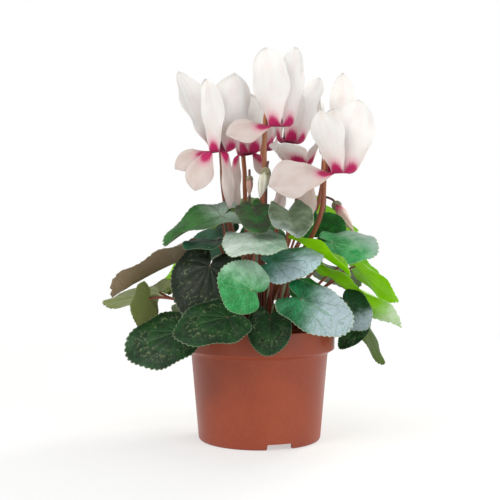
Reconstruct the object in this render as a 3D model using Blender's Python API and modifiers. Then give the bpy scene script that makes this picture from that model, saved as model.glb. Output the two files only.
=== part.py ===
"""Potted cyclamen: a florist's cyclamen in flower, in a plastic nursery pot.

Metres, +Z up. The origin is under the middle of the whole plant, on the surface that the
pot stands on. -Y is the side that the fullest leaves hang over. All measures below are taken
from the pot's axis, which stands at POT_AXIS.
"""

import math

import bmesh
import bpy
import numpy as np

MM = 0.001
POT_AXIS = (8.4, -9.05, 0.0)  # mm, from the origin
TURNS = 40  # straight sides round the pot and the soil
GAP = 0.3  # between pieces that touch, mm

# Pot, mm
RIM_RADIUS = 60.0
POT_HEIGHT = 90.0
RIM_BAND = 17.4
RIM_CHAMFER = 3.1
BODY_TOP_RADIUS = 54.6
FOOT_RADIUS = 48.6
FOOT_EASE = 2.4
WALL = 1.3
LIP_ROUND = 0.6  # how far the rim's edge is rounded down
FOOT_WIDTH = 1.0
FLOOR_UNDERSIDE = 5.6
NOTCHES = 3
NOTCH_WIDTH = 20.5
NOTCH_DEPTH = 14.0
NOTCH_HEIGHT = 4.6
NOTCH_AT = -71.5  # degrees, the notch that faces front
DRAINS = 6
DRAIN_RADIUS = 4.0
DRAIN_RING = 31.0
DRAIN_SIDES = 12

# Soil and tuber, mm
SOIL_TOP = 79.0
SOIL_MOUND = 2.5
TUBER_RADIUS = 20.0
TUBER_TOP = 86.0
TUBER_SHOULDER = 74.0  # height of its widest part
TUBER_BOTTOM = 64.0
CROWN_CURVE = 40.0  # the tuber's top falls by radius squared over this
FLOWER_RING = 6.0  # the ring on the crown where the flower stalks rise

# Growth, mm
BLADE_THICKNESS = 0.7
PETAL_THICKNESS = 0.6
PETIOLE_RADIUS = 1.1
STALK_RADIUS = 1.9
STALK_ROOT_RADIUS = 1.15
STALK_TOP_RADIUS = 1.3  # where the stalk comes in between the petals
TUBE_RADIUS = 5.8
TUBE_DEPTH = 7.0
TUBE_TOP_RADIUS = 1.6
CALYX_RADIUS = 3.2
PETAL_TIP = 3.0  # half width at the very tip
PETAL_BOW = 12.0  # degrees that a petal leans further out at its tip than at its foot
BUD_STALK_RADIUS = 1.0
BLADE_RAYS = 12
BLADE_RINGS = 2
PETAL_ACROSS = 2
PETAL_ALONG = 4
BLADE_SHOULDER = 0.64  # the blade's half width, as a share of its length, before it is scaled
SINUS = 0.10  # radians, half the notch where the petiole joins the blade
ROOT_SPREAD = 18.0  # a petiole leans out at its root by its ring over this
PETIOLE_POINTS = 8
STALK_POINTS = 6
WELD = 0.00001  # metres

# A flower stalk's hook, mm: distance out from the flower's middle, and height over the mouth
HOOK = [(13, -14), (12.5, -2), (11.5, 8), (8.5, 14.5), (4, 16.5), (0.8, 14.5), (0, 11)]
# A bud along its length: share of the length, and share of its greatest radius
BUD_SHAPE = [(0.0, 0.75), (0.2, 1.0), (0.45, 0.95), (0.75, 0.6), (1.0, 0.15)]

# Each leaf, mm: name, root angle (degrees) and root ring on the crown, where the petiole
# meets the blade, the blade's tip, the way its upper side faces, half width to length,
# droop, fold (positive lifts both halves) and twist towards the tip (degrees)
LEAVES = [
    ("leaf_01", 185, 10, (-30, -27, 178), (-74, -38, 158), (0.1, -0.3, 1), 0.50, 0.10, 0.15, 14),
    ("leaf_02", 158, 10, (-31, 24, 175), (-40, 52, 183), (-0.2, -0.3, 1), 0.52, 0.10, 0.10, 0),
    ("leaf_03", 187, 15, (-67, 2, 141), (-114, -16, 114), (-0.2, 0.1, 1), 0.48, 0.10, 0.50, 15),
    ("leaf_04", 172, 15, (-82, 16, 116), (-127, 14, 103), (-0.2, 0.3, 1), 0.60, 0.10, 0.10, 0),
    ("leaf_05", 202, 15, (-87, -19, 113), (-94, -30, 93), (-0.8, 0.5, 0.3), 0.92, 0.10, 0.10, 0),
    ("leaf_06", 155, 15, (-60, 36, 136), (-86, 46, 114), (-0.5, -0.4, 0.6), 0.52, 0.10, 0.05, 0),
    ("leaf_07", 212, 10, (-33, -34, 159), (-57, -50, 154), (0, -0.2, 1), 0.50, 0.10, 0.0, 0),
    ("leaf_08", 254, 10, (-4, -52, 163), (-5, -93.97, 149), (0, -0.5, 1), 0.52, 0.05, -0.10, 0),
    ("leaf_09", 235, 10, (-5.5, -38, 184), (0, -66, 165), (0, -0.6, 1), 0.40, 0.12, 0.05, 0),
    ("leaf_10", 135, 10, (-10, 33, 187), (-14, 58, 194), (0, -0.3, 1), 0.42, 0.10, 0.10, 0),
    ("leaf_11", 233, 15, (-38, -44, 140), (-49, -50, 99), (-0.25, -1, 0.2), 0.66, 0.25, -0.05, 0),
    ("leaf_12", 248, 15, (-24, -74, 104), (-64, -76, 93), (0, -0.6, 0.8), 0.55, 0.12, -0.05, 0),
    ("leaf_13", 263, 15, (-6, -80, 124.6), (-29, -84, 138), (0.1, -0.9, 0.4), 0.74, 0.12, -0.05, 0),
    ("leaf_14", 218, 15, (-62, -54, 91), (-102, -50, 75), (-0.2, -0.7, 0.7), 0.58, 0.12, -0.05, 0),
    ("leaf_15", 278, 15, (7, -65, 101), (5, -72, 75), (0, -1, 0.3), 0.58, 0.10, -0.05, 0),
    ("leaf_16", 294, 15, (30, -74, 117), (65, -83, 97), (0.1, -0.8, 0.55), 0.48, 0.12, -0.08, 0),
    ("leaf_17", 309, 15, (42, -54, 118), (22, -60, 125), (0, -0.8, 0.5), 0.55, 0.10, 0.0, 0),
    ("leaf_18", 297, 10, (11, -51, 143.5), (47, -63, 144), (0, -0.6, 0.8), 0.54, 0.10, -0.05, 0),
    ("leaf_19", 93, 15, (-6, 74, 96), (-10, 90, 60), (0, 1, 0.3), 0.60, 0.10, 0.0, 0),
    ("leaf_20", 316, 10, (22, -42, 180), (27, -76, 161), (0, -0.5, 0.9), 0.40, 0.05, 0.25, 0),
    ("leaf_21", 336, 10, (36, -34, 154), (69, -45, 134), (0.2, 0.1, 1), 0.38, 0.05, 0.40, 0),
    ("leaf_22", 30, 10, (50, 20, 162), (70, 15, 173), (0, -0.9, 0.4), 0.72, 0.10, 0.05, 0),
    ("leaf_23", 48, 10, (50, 70, 184), (84, 62, 163), (0.2, 0.4, 0.9), 0.45, 0.10, 0.10, 0),
    ("leaf_24", 354, 10, (57, -9, 157), (92, -25, 150), (0, -0.6, 0.8), 0.52, 0.10, -0.05, 0),
    ("leaf_25", 4, 15, (78, 12, 137), (110, 4, 107), (0.7, 0.3, 0.6), 0.42, 0.10, 0.10, 0),
    ("leaf_26", 32, 15, (79, 35, 143), (102, 40, 124), (0.5, 0.2, 0.7), 0.50, 0.10, 0.10, 0),
    ("leaf_27", 336, 15, (58, -32, 128), (106, -38, 92), (0.5, 0.16, 0.8), 0.36, 0.05, 0.20, -17),
    ("leaf_28", 323, 15, (65, -52, 113), (79, -60, 93), (0.3, -0.8, 0.6), 0.66, 0.10, 0.0, 0),
    ("leaf_29", 350, 15, (77, -24, 92), (62, -30, 76), (-0.2, -1, 0.3), 0.38, 0.10, 0.0, 0),
    ("leaf_30", 18, 15, (83, 10, 92), (98, 10, 57), (0.9, 0.2, 0.3), 0.50, 0.10, 0.05, 0),
    ("leaf_31", 14, 10, (33, 10, 180), (40, -2, 160), (-0.4, -0.8, 0.4), 0.50, 0.10, 0.0, 0),
    ("leaf_32", 47, 15, (52, 58, 136), (82, 86, 114), (0.2, 0.2, 1), 0.60, 0.15, 0.0, 0),
    ("leaf_33", 88, 10, (4, 42, 157), (0, 66, 175), (0, -0.6, 0.8), 0.62, 0.12, 0.0, 0),
    ("leaf_34", 78, 15, (12, 72, 126), (16, 112, 104), (0, 0.4, 1), 0.62, 0.15, 0.0, 0),
    ("leaf_35", 114, 10, (-14, 58, 148), (-26, 96, 132), (0, 0.3, 1), 0.62, 0.15, 0.0, 0),
    ("leaf_36", 109, 15, (-42, 68, 110), (-64, 96, 84), (-0.2, 0.5, 0.8), 0.62, 0.12, 0.0, 0),
    ("leaf_37", 140, 15, (-30, 34, 160), (-58, 50, 152), (0, -0.7, 0.7), 0.62, 0.12, 0.0, 0),
    ("leaf_38", 62, 15, (48, 66, 100), (70, 90, 72), (0.3, 0.5, 0.8), 0.60, 0.12, 0.0, 0),
]

# Each flower, mm: name, root angle on the crown, middle of the mouth, the way up through
# the flower, the side that its stalk comes up on (degrees), and its petals, in turn from that
# side round, as (heading in degrees, lean from upright in degrees, length, half width, twist
# in degrees)
FLOWERS = [
    ("flower_01", 205, (-33, -18, 229), (-0.05, -0.05, 1), 78, [
        (182, 18, 74, 12, 62), (194, 112, 32, 12, 45), (228, 149, 36, 11, 35), (240, 5, 60, 13, 15),
        (294, 172, 48, 6, 20), (302, 8, 65, 16, 20), (8, 14, 50, 9, 0)]),
    ("flower_02", 150, (-10, 14, 229), (-0.1, 0.1, 1), 105, [
        (173, 12, 52, 12, 0), (212, 172, 47, 7, 15), (228, 12, 52, 11, 15), (278, 5, 50, 11, 0),
        (300, 155, 28, 8, 10), (27, 20, 44, 11, 15)]),
    ("flower_03", 300, (14, -28, 248), (0, -0.05, 1), 143, [
        (205, 103, 38, 11, 50), (217, 8, 63, 16, -28), (310, 4, 64, 11, 25), (20, 6, 58, 12, 0),
        (65, 6, 54, 12, 0)]),
    ("flower_04", 60, (24, 22, 239), (0.05, 0.1, 1), 102, [
        (164, 8, 54, 11, 0), (205, 8, 54, 10, 15), (265, 12, 48, 10, 15), (333, 12, 59, 8.5, 40),
        (40, 12, 52, 12, 10)]),
    ("flower_05", 358, (61, -28, 212), (0, -0.05, 1), 150, [
        (203, 99, 54, 15, 70), (215, 19, 54, 13, -30), (305, 7, 60, 16, 40), (30, 8, 52, 12, 20),
        (88, 3, 54, 13, 20)]),
    ("flower_06", 328, (31, -8, 217), (0, 0.2, 1), 93, [
        (152, 35, 32, 11, 15), (190, 165, 43, 8, 30), (235, 60, 28, 13, 0), (35, 25, 34, 11, 15),
        (48, 174, 42, 7, 20)]),
    ("flower_07", 36, (61, 45, 230), (0.05, 0.1, 1), 117, [
        (181, 8, 58, 11, 0), (215, 10, 60, 12, 40), (275, 4, 72, 11, 30), (330, 6, 48, 11, 30),
        (18, 8, 46, 12, 30)]),
    ("flower_08", 95, (4, 62, 236), (0, 0.15, 1), 265, [
        (345, 14, 52, 13, 15), (15, 18, 56, 13, 15), (75, 16, 58, 13, 15), (130, 14, 56, 13, 15),
        (183, 20, 54, 13, 15)]),
]

# Each bud, mm: name, root angle and ring on the crown, the side that its stalk comes up on
# (degrees), calyx, tip, and greatest radius
BUDS = [
    ("bud_01", 270, 6, 90, (5, -34, 214), (0, -34, 192), 4.2),
    ("bud_02", 345, 3, 180, (63, 38, 189), (79, 38, 165), 4.0),
    ("bud_03", 235, 6, 90, (-8, -22, 208), (-8, -23, 194), 2.6),
]


def clear_scene():
    for obj in list(bpy.data.objects):
        bpy.data.objects.remove(obj, do_unlink=True)


def new_collection(name):
    collection = bpy.data.collections.new(name)
    bpy.context.scene.collection.children.link(collection)
    return collection


def new_material(name, colour, roughness):
    material = bpy.data.materials.new(name)
    material.use_nodes = True
    shader = material.node_tree.nodes["Principled BSDF"]
    shader.inputs["Base Color"].default_value = (*colour, 1.0)
    shader.inputs["Roughness"].default_value = roughness
    shader.inputs["Metallic"].default_value = 0.0
    material.diffuse_color = (*colour, 1.0)
    return material


def new_object(name, data, collection, material=None):
    obj = bpy.data.objects.new(name, data)
    collection.objects.link(obj)
    if material:
        obj.data.materials.append(material)
    return obj


def metres(points):
    return np.asarray(points, float) * MM


def unit(vector):
    vector = np.asarray(vector, float)
    return vector / np.linalg.norm(vector)


def heading(degrees):
    angle = math.radians(degrees)
    return np.array([math.cos(angle), math.sin(angle), 0.0])


def across_axis(axis, vector):
    """The part of a vector square to an axis, as a unit vector."""
    return unit(np.asarray(vector, float) - axis * np.dot(axis, vector))


def bezier(p0, p1, p2, p3, count):
    t = np.linspace(0.0, 1.0, count)[:, None]
    return (1 - t) ** 3 * p0 + 3 * (1 - t) ** 2 * t * p1 + 3 * (1 - t) * t**2 * p2 + t**3 * p3


def turned(name, profile, collection, material):
    """A solid of revolution. The profile runs down its outer side, from axis to axis."""
    mesh = bpy.data.meshes.new(name)
    edges = [(index, index + 1) for index in range(len(profile) - 1)]
    mesh.from_pydata([(r * MM, 0.0, z * MM) for r, z in profile], edges, [])
    obj = new_object(name, mesh, collection, material)
    screw = obj.modifiers.new("Screw", "SCREW")
    screw.angle = 2 * math.pi
    screw.steps = screw.render_steps = TURNS
    screw.use_merge_vertices = True
    screw.merge_threshold = WELD
    return obj


def tube(name, points, radii, collection, material=None):
    """A four-sided stem through the points, as thick at each as the radii say (mm)."""
    curve = bpy.data.curves.new(name, "CURVE")
    curve.dimensions = "3D"
    curve.bevel_depth = MM
    curve.bevel_resolution = 0
    curve.use_fill_caps = True
    spline = curve.splines.new("POLY")
    spline.points.add(len(points) - 1)
    for knot, place, radius in zip(spline.points, metres(points), radii):
        knot.co = (*place, 1.0)
        knot.radius = radius
    return new_object(name, curve, collection, material)


def as_mesh(obj, collection):
    """A mesh copy of a curve with its caps welded. The curve is removed."""
    graph = bpy.context.evaluated_depsgraph_get()
    mesh = bpy.data.meshes.new_from_object(obj.evaluated_get(graph))
    work = bmesh.new()
    work.from_mesh(mesh)
    bmesh.ops.remove_doubles(work, verts=work.verts, dist=WELD)
    work.to_mesh(mesh)
    work.free()
    name, place = obj.name, obj.matrix_world.copy()
    bpy.data.objects.remove(obj, do_unlink=True)
    solid = new_object(name, mesh, collection)
    solid.matrix_world = place
    return solid


def helper(obj):
    obj.hide_render = True
    obj.display_type = "WIRE"


def boolean(obj, other, operation):
    cut = obj.modifiers.new("Boolean", "BOOLEAN")
    cut.operation = operation
    cut.solver = "EXACT"
    cut.object = other


def bent_grid(name, across, along, bend, thickness, collection, material):
    """A grid primitive, bent to a surface by a function of its two parameters, then thickened."""
    work = bmesh.new()
    bmesh.ops.create_grid(work, x_segments=across, y_segments=along, size=1.0)
    places = np.array([v.co for v in work.verts])
    for vert, place in zip(work.verts, metres(bend(places[:, 0], (places[:, 1] + 1) / 2))):
        vert.co = place
    bmesh.ops.remove_doubles(work, verts=work.verts, dist=WELD)
    mesh = bpy.data.meshes.new(name)
    work.to_mesh(mesh)
    work.free()
    obj = new_object(name, mesh, collection, material)
    shell = obj.modifiers.new("Solidify", "SOLIDIFY")
    shell.thickness = thickness * MM
    shell.offset = 0.0
    shell.use_even_offset = False
    return obj


def pot_radius(z):
    """Outside radius of the tapered body, mm, at a height z."""
    top = POT_HEIGHT - RIM_BAND - RIM_CHAMFER
    return FOOT_RADIUS + (BODY_TOP_RADIUS - FOOT_RADIUS) * z / top


def make_pot(parts, cutters, material):
    band_bottom = POT_HEIGHT - RIM_BAND
    body_top = band_bottom - RIM_CHAMFER
    floor_top = FLOOR_UNDERSIDE + WALL
    foot_inner = FOOT_RADIUS - FOOT_EASE - FOOT_WIDTH
    profile = [
        (0.0, floor_top),
        (pot_radius(floor_top) - WALL, floor_top),
        (BODY_TOP_RADIUS - WALL, body_top),
        (RIM_RADIUS - WALL, band_bottom),
        (RIM_RADIUS - WALL, POT_HEIGHT - LIP_ROUND),
        (RIM_RADIUS - 0.5 * WALL, POT_HEIGHT),
        (RIM_RADIUS, POT_HEIGHT - LIP_ROUND),
        (RIM_RADIUS, band_bottom),
        (BODY_TOP_RADIUS, body_top),
        (pot_radius(FOOT_EASE), FOOT_EASE),
        (FOOT_RADIUS - 0.3 * FOOT_EASE, 0.3 * FOOT_EASE),
        (FOOT_RADIUS - FOOT_EASE, 0.0),
        (foot_inner, 0.0),
        (foot_inner, FLOOR_UNDERSIDE),
        (0.0, FLOOR_UNDERSIDE),
    ]
    pot = turned("pot", profile, parts, material)
    for index in range(NOTCHES):
        angle = NOTCH_AT + 360 / NOTCHES * index
        bpy.ops.mesh.primitive_cube_add(size=1)
        notch = bpy.context.object
        notch.name = f"notch_cutter_{index + 1}"
        notch.dimensions = metres((NOTCH_DEPTH, NOTCH_WIDTH, 2 * NOTCH_HEIGHT))
        notch.location = metres(heading(angle) * FOOT_RADIUS)
        notch.rotation_euler = (0, 0, math.radians(angle))
        helper(notch)
        move_to(notch, cutters)
        boolean(pot, notch, "DIFFERENCE")
    for index in range(DRAINS):
        centre = heading(360 / DRAINS * index) * DRAIN_RING + np.array([0, 0, floor_top])
        bpy.ops.mesh.primitive_cylinder_add(
            vertices=DRAIN_SIDES, radius=DRAIN_RADIUS * MM, depth=4 * WALL * MM
        )
        drain = bpy.context.object
        drain.name = f"drain_cutter_{index + 1}"
        drain.location = metres(centre)
        helper(drain)
        move_to(drain, cutters)
        boolean(pot, drain, "DIFFERENCE")
    return pot


def move_to(obj, collection):
    for owner in list(obj.users_collection):
        owner.objects.unlink(obj)
    collection.objects.link(obj)


def crown(radius):
    """Height of the tuber's top, mm, at a radius from its middle."""
    return TUBER_TOP - radius**2 / CROWN_CURVE


def make_tuber(parts, material):
    profile = [(radius, crown(radius)) for radius in (0.0, 6.0, 12.0, TUBER_RADIUS - 2)]
    profile += [
        (TUBER_RADIUS, TUBER_SHOULDER),
        (TUBER_RADIUS - 1.5, TUBER_SHOULDER - 4),
        (TUBER_RADIUS - 7, TUBER_BOTTOM + 1),
        (0.0, TUBER_BOTTOM),
    ]
    return turned("tuber", profile, parts, material)


def make_soil(parts, material):
    """Peat that fills the pot, hollowed round the tuber and heaped a little against it."""
    gap = GAP + 0.2
    bottom = FLOOR_UNDERSIDE + WALL + gap
    band_bottom = POT_HEIGHT - RIM_BAND
    heap = SOIL_TOP + SOIL_MOUND
    profile = [
        (0.0, TUBER_BOTTOM - gap),
        (TUBER_RADIUS - 7, TUBER_BOTTOM + 1 - 2 * gap),
        (TUBER_RADIUS - 1.5 + gap, TUBER_SHOULDER - 4 - gap),
        (TUBER_RADIUS + gap, TUBER_SHOULDER),
        (TUBER_RADIUS + gap, heap - 3),
        (TUBER_RADIUS + 4, heap),
        (40.0, SOIL_TOP + 1),
        (RIM_RADIUS - WALL - gap, SOIL_TOP - 1),
        (RIM_RADIUS - WALL - gap, band_bottom + GAP),
        (BODY_TOP_RADIUS - WALL - gap, band_bottom - RIM_CHAMFER + GAP),
        (pot_radius(bottom) - WALL - gap, bottom),
        (0.0, bottom),
    ]
    return turned("soil", profile, parts, material)


def blade_outline(turn):
    """Heart-shaped reach of the blade from where the petiole joins, as a share of its length."""
    body = 0.68 + 0.19 * np.cos(turn) + 0.04 * np.cos(2 * turn) + 0.09 * np.exp(-((turn / 0.42) ** 2))
    sinus = 1 - 0.75 * np.exp(-(((math.pi - np.abs(turn)) / 0.5) ** 2))
    return body * sinus


def blade_surface(attach, tip, facing, width, droop, fold, twist):
    """A function from (side, reach) to places on the blade, in mm."""
    length = np.linalg.norm(np.subtract(tip, attach))
    along = unit(np.subtract(tip, attach))
    up = across_axis(along, facing)
    side = np.cross(up, along)

    def place(u, v):
        turn = u * (math.pi - SINUS)
        reach = blade_outline(turn) * v * length
        x = reach * np.cos(turn)
        y = reach * np.sin(turn) * width / BLADE_SHOULDER
        lift = fold * np.abs(y)
        turned = math.radians(twist) * x / length
        y, lift = y * np.cos(turned) - lift * np.sin(turned), y * np.sin(turned) + lift * np.cos(turned)
        lift -= droop * (x * x + y * y - x * length) / length
        return np.asarray(attach, float) + np.outer(x, along) + np.outer(y, side) + np.outer(lift, up)

    return place


def petiole_path(root_angle, root_ring, attach, tip, facing):
    """From the crown to the blade, which it meets from below. A low one comes down over the rim."""
    root = heading(root_angle) * root_ring
    root[2] = crown(root_ring) + 2 * GAP
    attach = np.asarray(attach, float)
    along = unit(np.subtract(tip, attach))
    up = across_axis(along, facing)
    span = np.linalg.norm(attach - root)
    rise = unit(heading(root_angle) * root_ring / ROOT_SPREAD + np.array([0, 0, 1.0]))
    arrive = unit(0.6 * along + up)
    arrive[2] = min(arrive[2], (attach[2] - POT_HEIGHT - 5) / 40)
    end = attach + 0.5 * up
    return bezier(root, root + rise * span * 0.4, attach - arrive * span * 0.2, end, PETIOLE_POINTS)


def make_leaf(row, parts, cutters, material):
    name, root_angle, root_ring, attach, tip, facing, width, droop, fold, twist = row
    surface = blade_surface(attach, tip, facing, width, droop, fold, twist)
    leaf = bent_grid(name, BLADE_RAYS, BLADE_RINGS, surface, BLADE_THICKNESS, parts, material)
    path = petiole_path(root_angle, root_ring, attach, tip, facing)
    petiole = tube(name + "_petiole", path, [PETIOLE_RADIUS] * len(path), cutters)
    petiole = as_mesh(petiole, cutters)
    helper(petiole)
    boolean(leaf, petiole, "UNION")
    return leaf


def flower_frame(up):
    up = unit(up)
    right = across_axis(up, (1, 0, 0))
    return up, right, np.cross(up, right)


def petal_surface(mouth, frame, sector, petal, petals):
    """A function from (side, reach) to places on one petal, in mm, from the mouth's edge out.

    The midline leaves the mouth's edge outwards, swings up to its own lean and heading within the
    first seventh of its length, and bows outwards from there. The width is greatest past the middle.
    """
    up, right, back = frame
    head, lean, length, half_width, twist = petal
    steps = 40
    share = np.linspace(0, 1, steps)
    swing = np.clip(share / 0.14, 0, 1)
    swing = swing * swing * (3 - 2 * swing)
    start, end = math.radians(-5), math.radians(90 - lean)
    slope = (start + (end - start - math.radians(PETAL_BOW) * (share - 0.5)) * swing)[:, None]
    around = (head - sector + 180) % 360 - 180
    turn = np.radians(sector + around * swing)[:, None]
    out = np.cos(turn) * right + np.sin(turn) * back
    run = np.cos(slope) * out + np.sin(slope) * up
    face = np.cos(slope) * up - np.sin(slope) * out
    side = np.cross(run, face)
    base = np.asarray(mouth, float) + TUBE_RADIUS * out[0]
    walk = np.cumsum((run[1:] + run[:-1]) / 2, axis=0) * length / (steps - 1)
    path = base + np.vstack([np.zeros(3), walk])
    foot = TUBE_RADIUS * math.tan(math.pi / petals)

    def place(u, v):
        v = 1 - (1 - np.clip(v, 0, 1)) ** 1.3
        spot = v * (steps - 1)
        low = np.clip(np.floor(spot).astype(int), 0, steps - 2)
        blend = (spot - low)[:, None]
        mid, sideways, normal = (
            line[low] * (1 - blend) + line[low + 1] * blend for line in (path, side, face)
        )
        angle = (math.radians(twist) * np.clip(v / 0.4, 0, 1))[:, None]
        width = half_width * np.sin(np.pi * v**1.8) ** 0.5 + foot * (1 - v) ** 3
        width = np.where(v > 0.999, PETAL_TIP, width)
        return mid + (np.cos(angle) * sideways + np.sin(angle) * normal) * (u * width)[:, None]

    return place


def tube_surface(mouth, frame, sector, petals):
    """One petal's share of the tube's wall, from its narrow top down to the mouth's edge."""
    axis, right, back = frame
    share = math.pi / petals

    def place(u, v):
        turn = (math.radians(sector) - share * u)[:, None]
        radius = TUBE_TOP_RADIUS + (TUBE_RADIUS - TUBE_TOP_RADIUS) * v**0.6
        radius *= 1 + v * (1 / np.cos(share * u) - 1)  # straight at the mouth, where the petal joins
        ring = np.cos(turn) * right + np.sin(turn) * back
        return np.asarray(mouth, float) + radius[:, None] * ring + np.outer((1 - v) * TUBE_DEPTH, axis)

    return place


def make_corolla(name, mouth, up, stalk_side, petals, collection, material):
    """Short tube that opens downwards at the mouth, with the petals turned back from its edge.

    The tube's sectors meet at the stalk's side, so that the stalk comes in between two petals.
    """
    frame = flower_frame(up)
    count = len(petals)
    sectors = [stalk_side + 360 / count * (index + 0.5) for index in range(count)]
    work = bmesh.new()
    for sector, petal in zip(sectors, petals):
        add_grid(work, petal_surface(mouth, frame, sector, petal, count), PETAL_ACROSS, PETAL_ALONG)
        add_grid(work, tube_surface(mouth, frame, sector, count), PETAL_ACROSS, 2)
    bmesh.ops.remove_doubles(work, verts=work.verts, dist=5 * WELD)
    bmesh.ops.recalc_face_normals(work, faces=work.faces)
    mesh = bpy.data.meshes.new(name)
    work.to_mesh(mesh)
    work.free()
    obj = new_object(name, mesh, collection, material)
    shell = obj.modifiers.new("Solidify", "SOLIDIFY")
    shell.thickness = PETAL_THICKNESS * MM
    shell.offset = 0.0
    return obj


def add_grid(work, surface, across, along):
    made = bmesh.ops.create_grid(work, x_segments=across, y_segments=along, size=1.0)["verts"]
    places = np.array([v.co for v in made])
    for vert, place in zip(made, metres(surface(places[:, 0], (places[:, 1] + 1) / 2))):
        vert.co = place


def rise_from_crown(root_angle, root_ring, end, pull):
    """The upright part of a stalk, from the crown to an end that it reaches from below."""
    root = heading(root_angle) * root_ring
    root[2] = crown(root_ring) + GAP + 0.2
    lift = np.array([0, 0, pull])
    return bezier(root, root + lift, end - lift, end, STALK_POINTS)


def make_stalk(name, root_angle, mouth, up, stalk_side, parts, material):
    """Flower stalk from the crown, hooked over at the top, with the calyx at its end."""
    axis, right, back = flower_frame(up)
    angle = math.radians(stalk_side)
    out = math.cos(angle) * right + math.sin(angle) * back
    mouth = np.asarray(mouth, float)
    hook = [mouth + distance * out + height * axis for distance, height in HOOK]
    rise = rise_from_crown(root_angle, FLOWER_RING, hook[0], 50)
    end = TUBE_DEPTH + PETAL_THICKNESS + GAP
    points = np.vstack([rise, hook[1:], [mouth + (end + 1.2) * axis, mouth + end * axis]])
    radii = [STALK_ROOT_RADIUS] * 2 + [STALK_RADIUS] * (len(points) - 8)
    radii += [STALK_TOP_RADIUS] * 4 + [CALYX_RADIUS * 0.8, CALYX_RADIUS]
    return tube(name, points, radii, parts, material)


def make_bud(row, parts, material):
    """A hanging bud and its stalk, which hooks over from the side."""
    name, root_angle, root_ring, stalk_side, calyx, tip, radius = row
    calyx, tip = np.asarray(calyx, float), np.asarray(tip, float)
    axis = unit(tip - calyx)
    out = heading(stalk_side)
    near = calyx + 9 * out + np.array([0, 0, -10])
    rise = rise_from_crown(root_angle, root_ring, near, 40)
    hook = [calyx + 8 * out + np.array([0, 0, 1.0]), calyx + 4.5 * out - 5.5 * axis, calyx - 3.5 * axis]
    body = [calyx + (tip - calyx) * share for share, _ in BUD_SHAPE]
    points = np.vstack([rise, hook, body])
    radii = [BUD_STALK_RADIUS] * (len(rise) + len(hook)) + [radius * part for _, part in BUD_SHAPE]
    return tube(name, points, radii, parts, material)


def stand_at(place):
    """Everything is parented to an empty on the pot's axis, which carries it to its place."""
    axis = bpy.data.objects.new("pot_axis", None)
    bpy.context.scene.collection.objects.link(axis)
    axis.location = metres(place)
    for obj in bpy.data.objects:
        if obj is not axis:
            obj.parent = axis


def main():
    clear_scene()
    parts = new_collection("potted_cyclamen")
    cutters = new_collection("cutters")
    terracotta = new_material("pot_plastic", (0.42, 0.115, 0.065), 0.45)
    peat = new_material("peat_soil", (0.03, 0.017, 0.01), 0.95)
    bark = new_material("tuber_skin", (0.09, 0.045, 0.025), 0.85)
    green = new_material("leaf_green", (0.03, 0.12, 0.04), 0.45)
    white = new_material("petal_white", (0.85, 0.78, 0.78), 0.5)
    brown = new_material("stalk_brown", (0.3, 0.12, 0.06), 0.5)
    blush = new_material("bud_blush", (0.6, 0.4, 0.36), 0.5)
    make_pot(parts, cutters, terracotta)
    make_soil(parts, peat)
    make_tuber(parts, bark)
    for row in LEAVES:
        make_leaf(row, parts, cutters, green)
    for name, root_angle, mouth, up, stalk_side, petals in FLOWERS:
        make_stalk(name + "_stalk", root_angle, mouth, up, stalk_side, parts, brown)
        make_corolla(name + "_corolla", mouth, up, stalk_side, petals, parts, white)
    for row in BUDS:
        make_bud(row, parts, blush)
    stand_at(POT_AXIS)


main()
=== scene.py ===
import math

import bmesh
import bpy
import numpy as np
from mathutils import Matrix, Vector


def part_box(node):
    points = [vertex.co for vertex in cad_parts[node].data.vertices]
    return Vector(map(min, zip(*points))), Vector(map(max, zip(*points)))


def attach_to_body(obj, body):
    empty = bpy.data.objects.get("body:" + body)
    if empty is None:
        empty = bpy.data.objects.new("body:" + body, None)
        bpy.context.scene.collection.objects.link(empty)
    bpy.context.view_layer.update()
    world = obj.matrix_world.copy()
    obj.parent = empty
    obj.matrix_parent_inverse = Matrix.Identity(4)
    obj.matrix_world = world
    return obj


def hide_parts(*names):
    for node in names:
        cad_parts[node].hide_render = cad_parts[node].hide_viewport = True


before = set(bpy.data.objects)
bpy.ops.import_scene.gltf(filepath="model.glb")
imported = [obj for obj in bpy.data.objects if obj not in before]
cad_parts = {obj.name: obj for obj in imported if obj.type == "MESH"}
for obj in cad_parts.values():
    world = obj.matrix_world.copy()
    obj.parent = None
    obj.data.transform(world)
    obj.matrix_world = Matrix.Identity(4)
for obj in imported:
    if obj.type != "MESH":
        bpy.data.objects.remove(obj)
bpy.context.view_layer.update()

millimetre = 0.001
potLow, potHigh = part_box("pot")
potAxis = np.array([(potLow[0] + potHigh[0]) / 2, (potLow[1] + potHigh[1]) / 2, 0.0])
potTop = potHigh[2] / millimetre
print("frame loaded, the pot's axis stands at", np.round(potAxis, 4))

# All shapes below are worked out in millimetres from the pot's axis, and go into metres in addPiece.
# First come small helpers for points, as whole arrays.


def unit(vectors):
    vectors = np.asarray(vectors, float)
    return vectors / np.maximum(np.linalg.norm(vectors, axis=-1, keepdims=True), 1e-12)


def ease(low, high, value):
    share = np.clip((value - low) / (high - low), 0, 1)  # a smooth step from 0 at low to 1 at high
    return share * share * (3 - 2 * share)


def towards(degrees):
    return np.array([math.cos(math.radians(degrees)), math.sin(math.radians(degrees)), 0.0])


def squareTo(axis, vector):
    return unit(np.asarray(vector, float) - axis * np.dot(axis, vector))  # the part of it square to the axis


def circle(count):
    return np.linspace(0, 2 * math.pi, count, endpoint=False)


def polar(radius, turn):
    return radius * np.cos(turn), radius * np.sin(turn)


def between(first, second, angle):
    # the first way turned by an angle, or by each of many, towards the second
    angle = np.asarray(angle)[..., None]
    return np.cos(angle) * first + np.sin(angle) * second


def bezier(p0, p1, p2, p3, count):
    t = np.linspace(0, 1, count)[:, None]
    return (1 - t) ** 3 * p0 + 3 * (1 - t) ** 2 * t * p1 + 3 * (1 - t) * t * t * p2 + t**3 * p3


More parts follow.
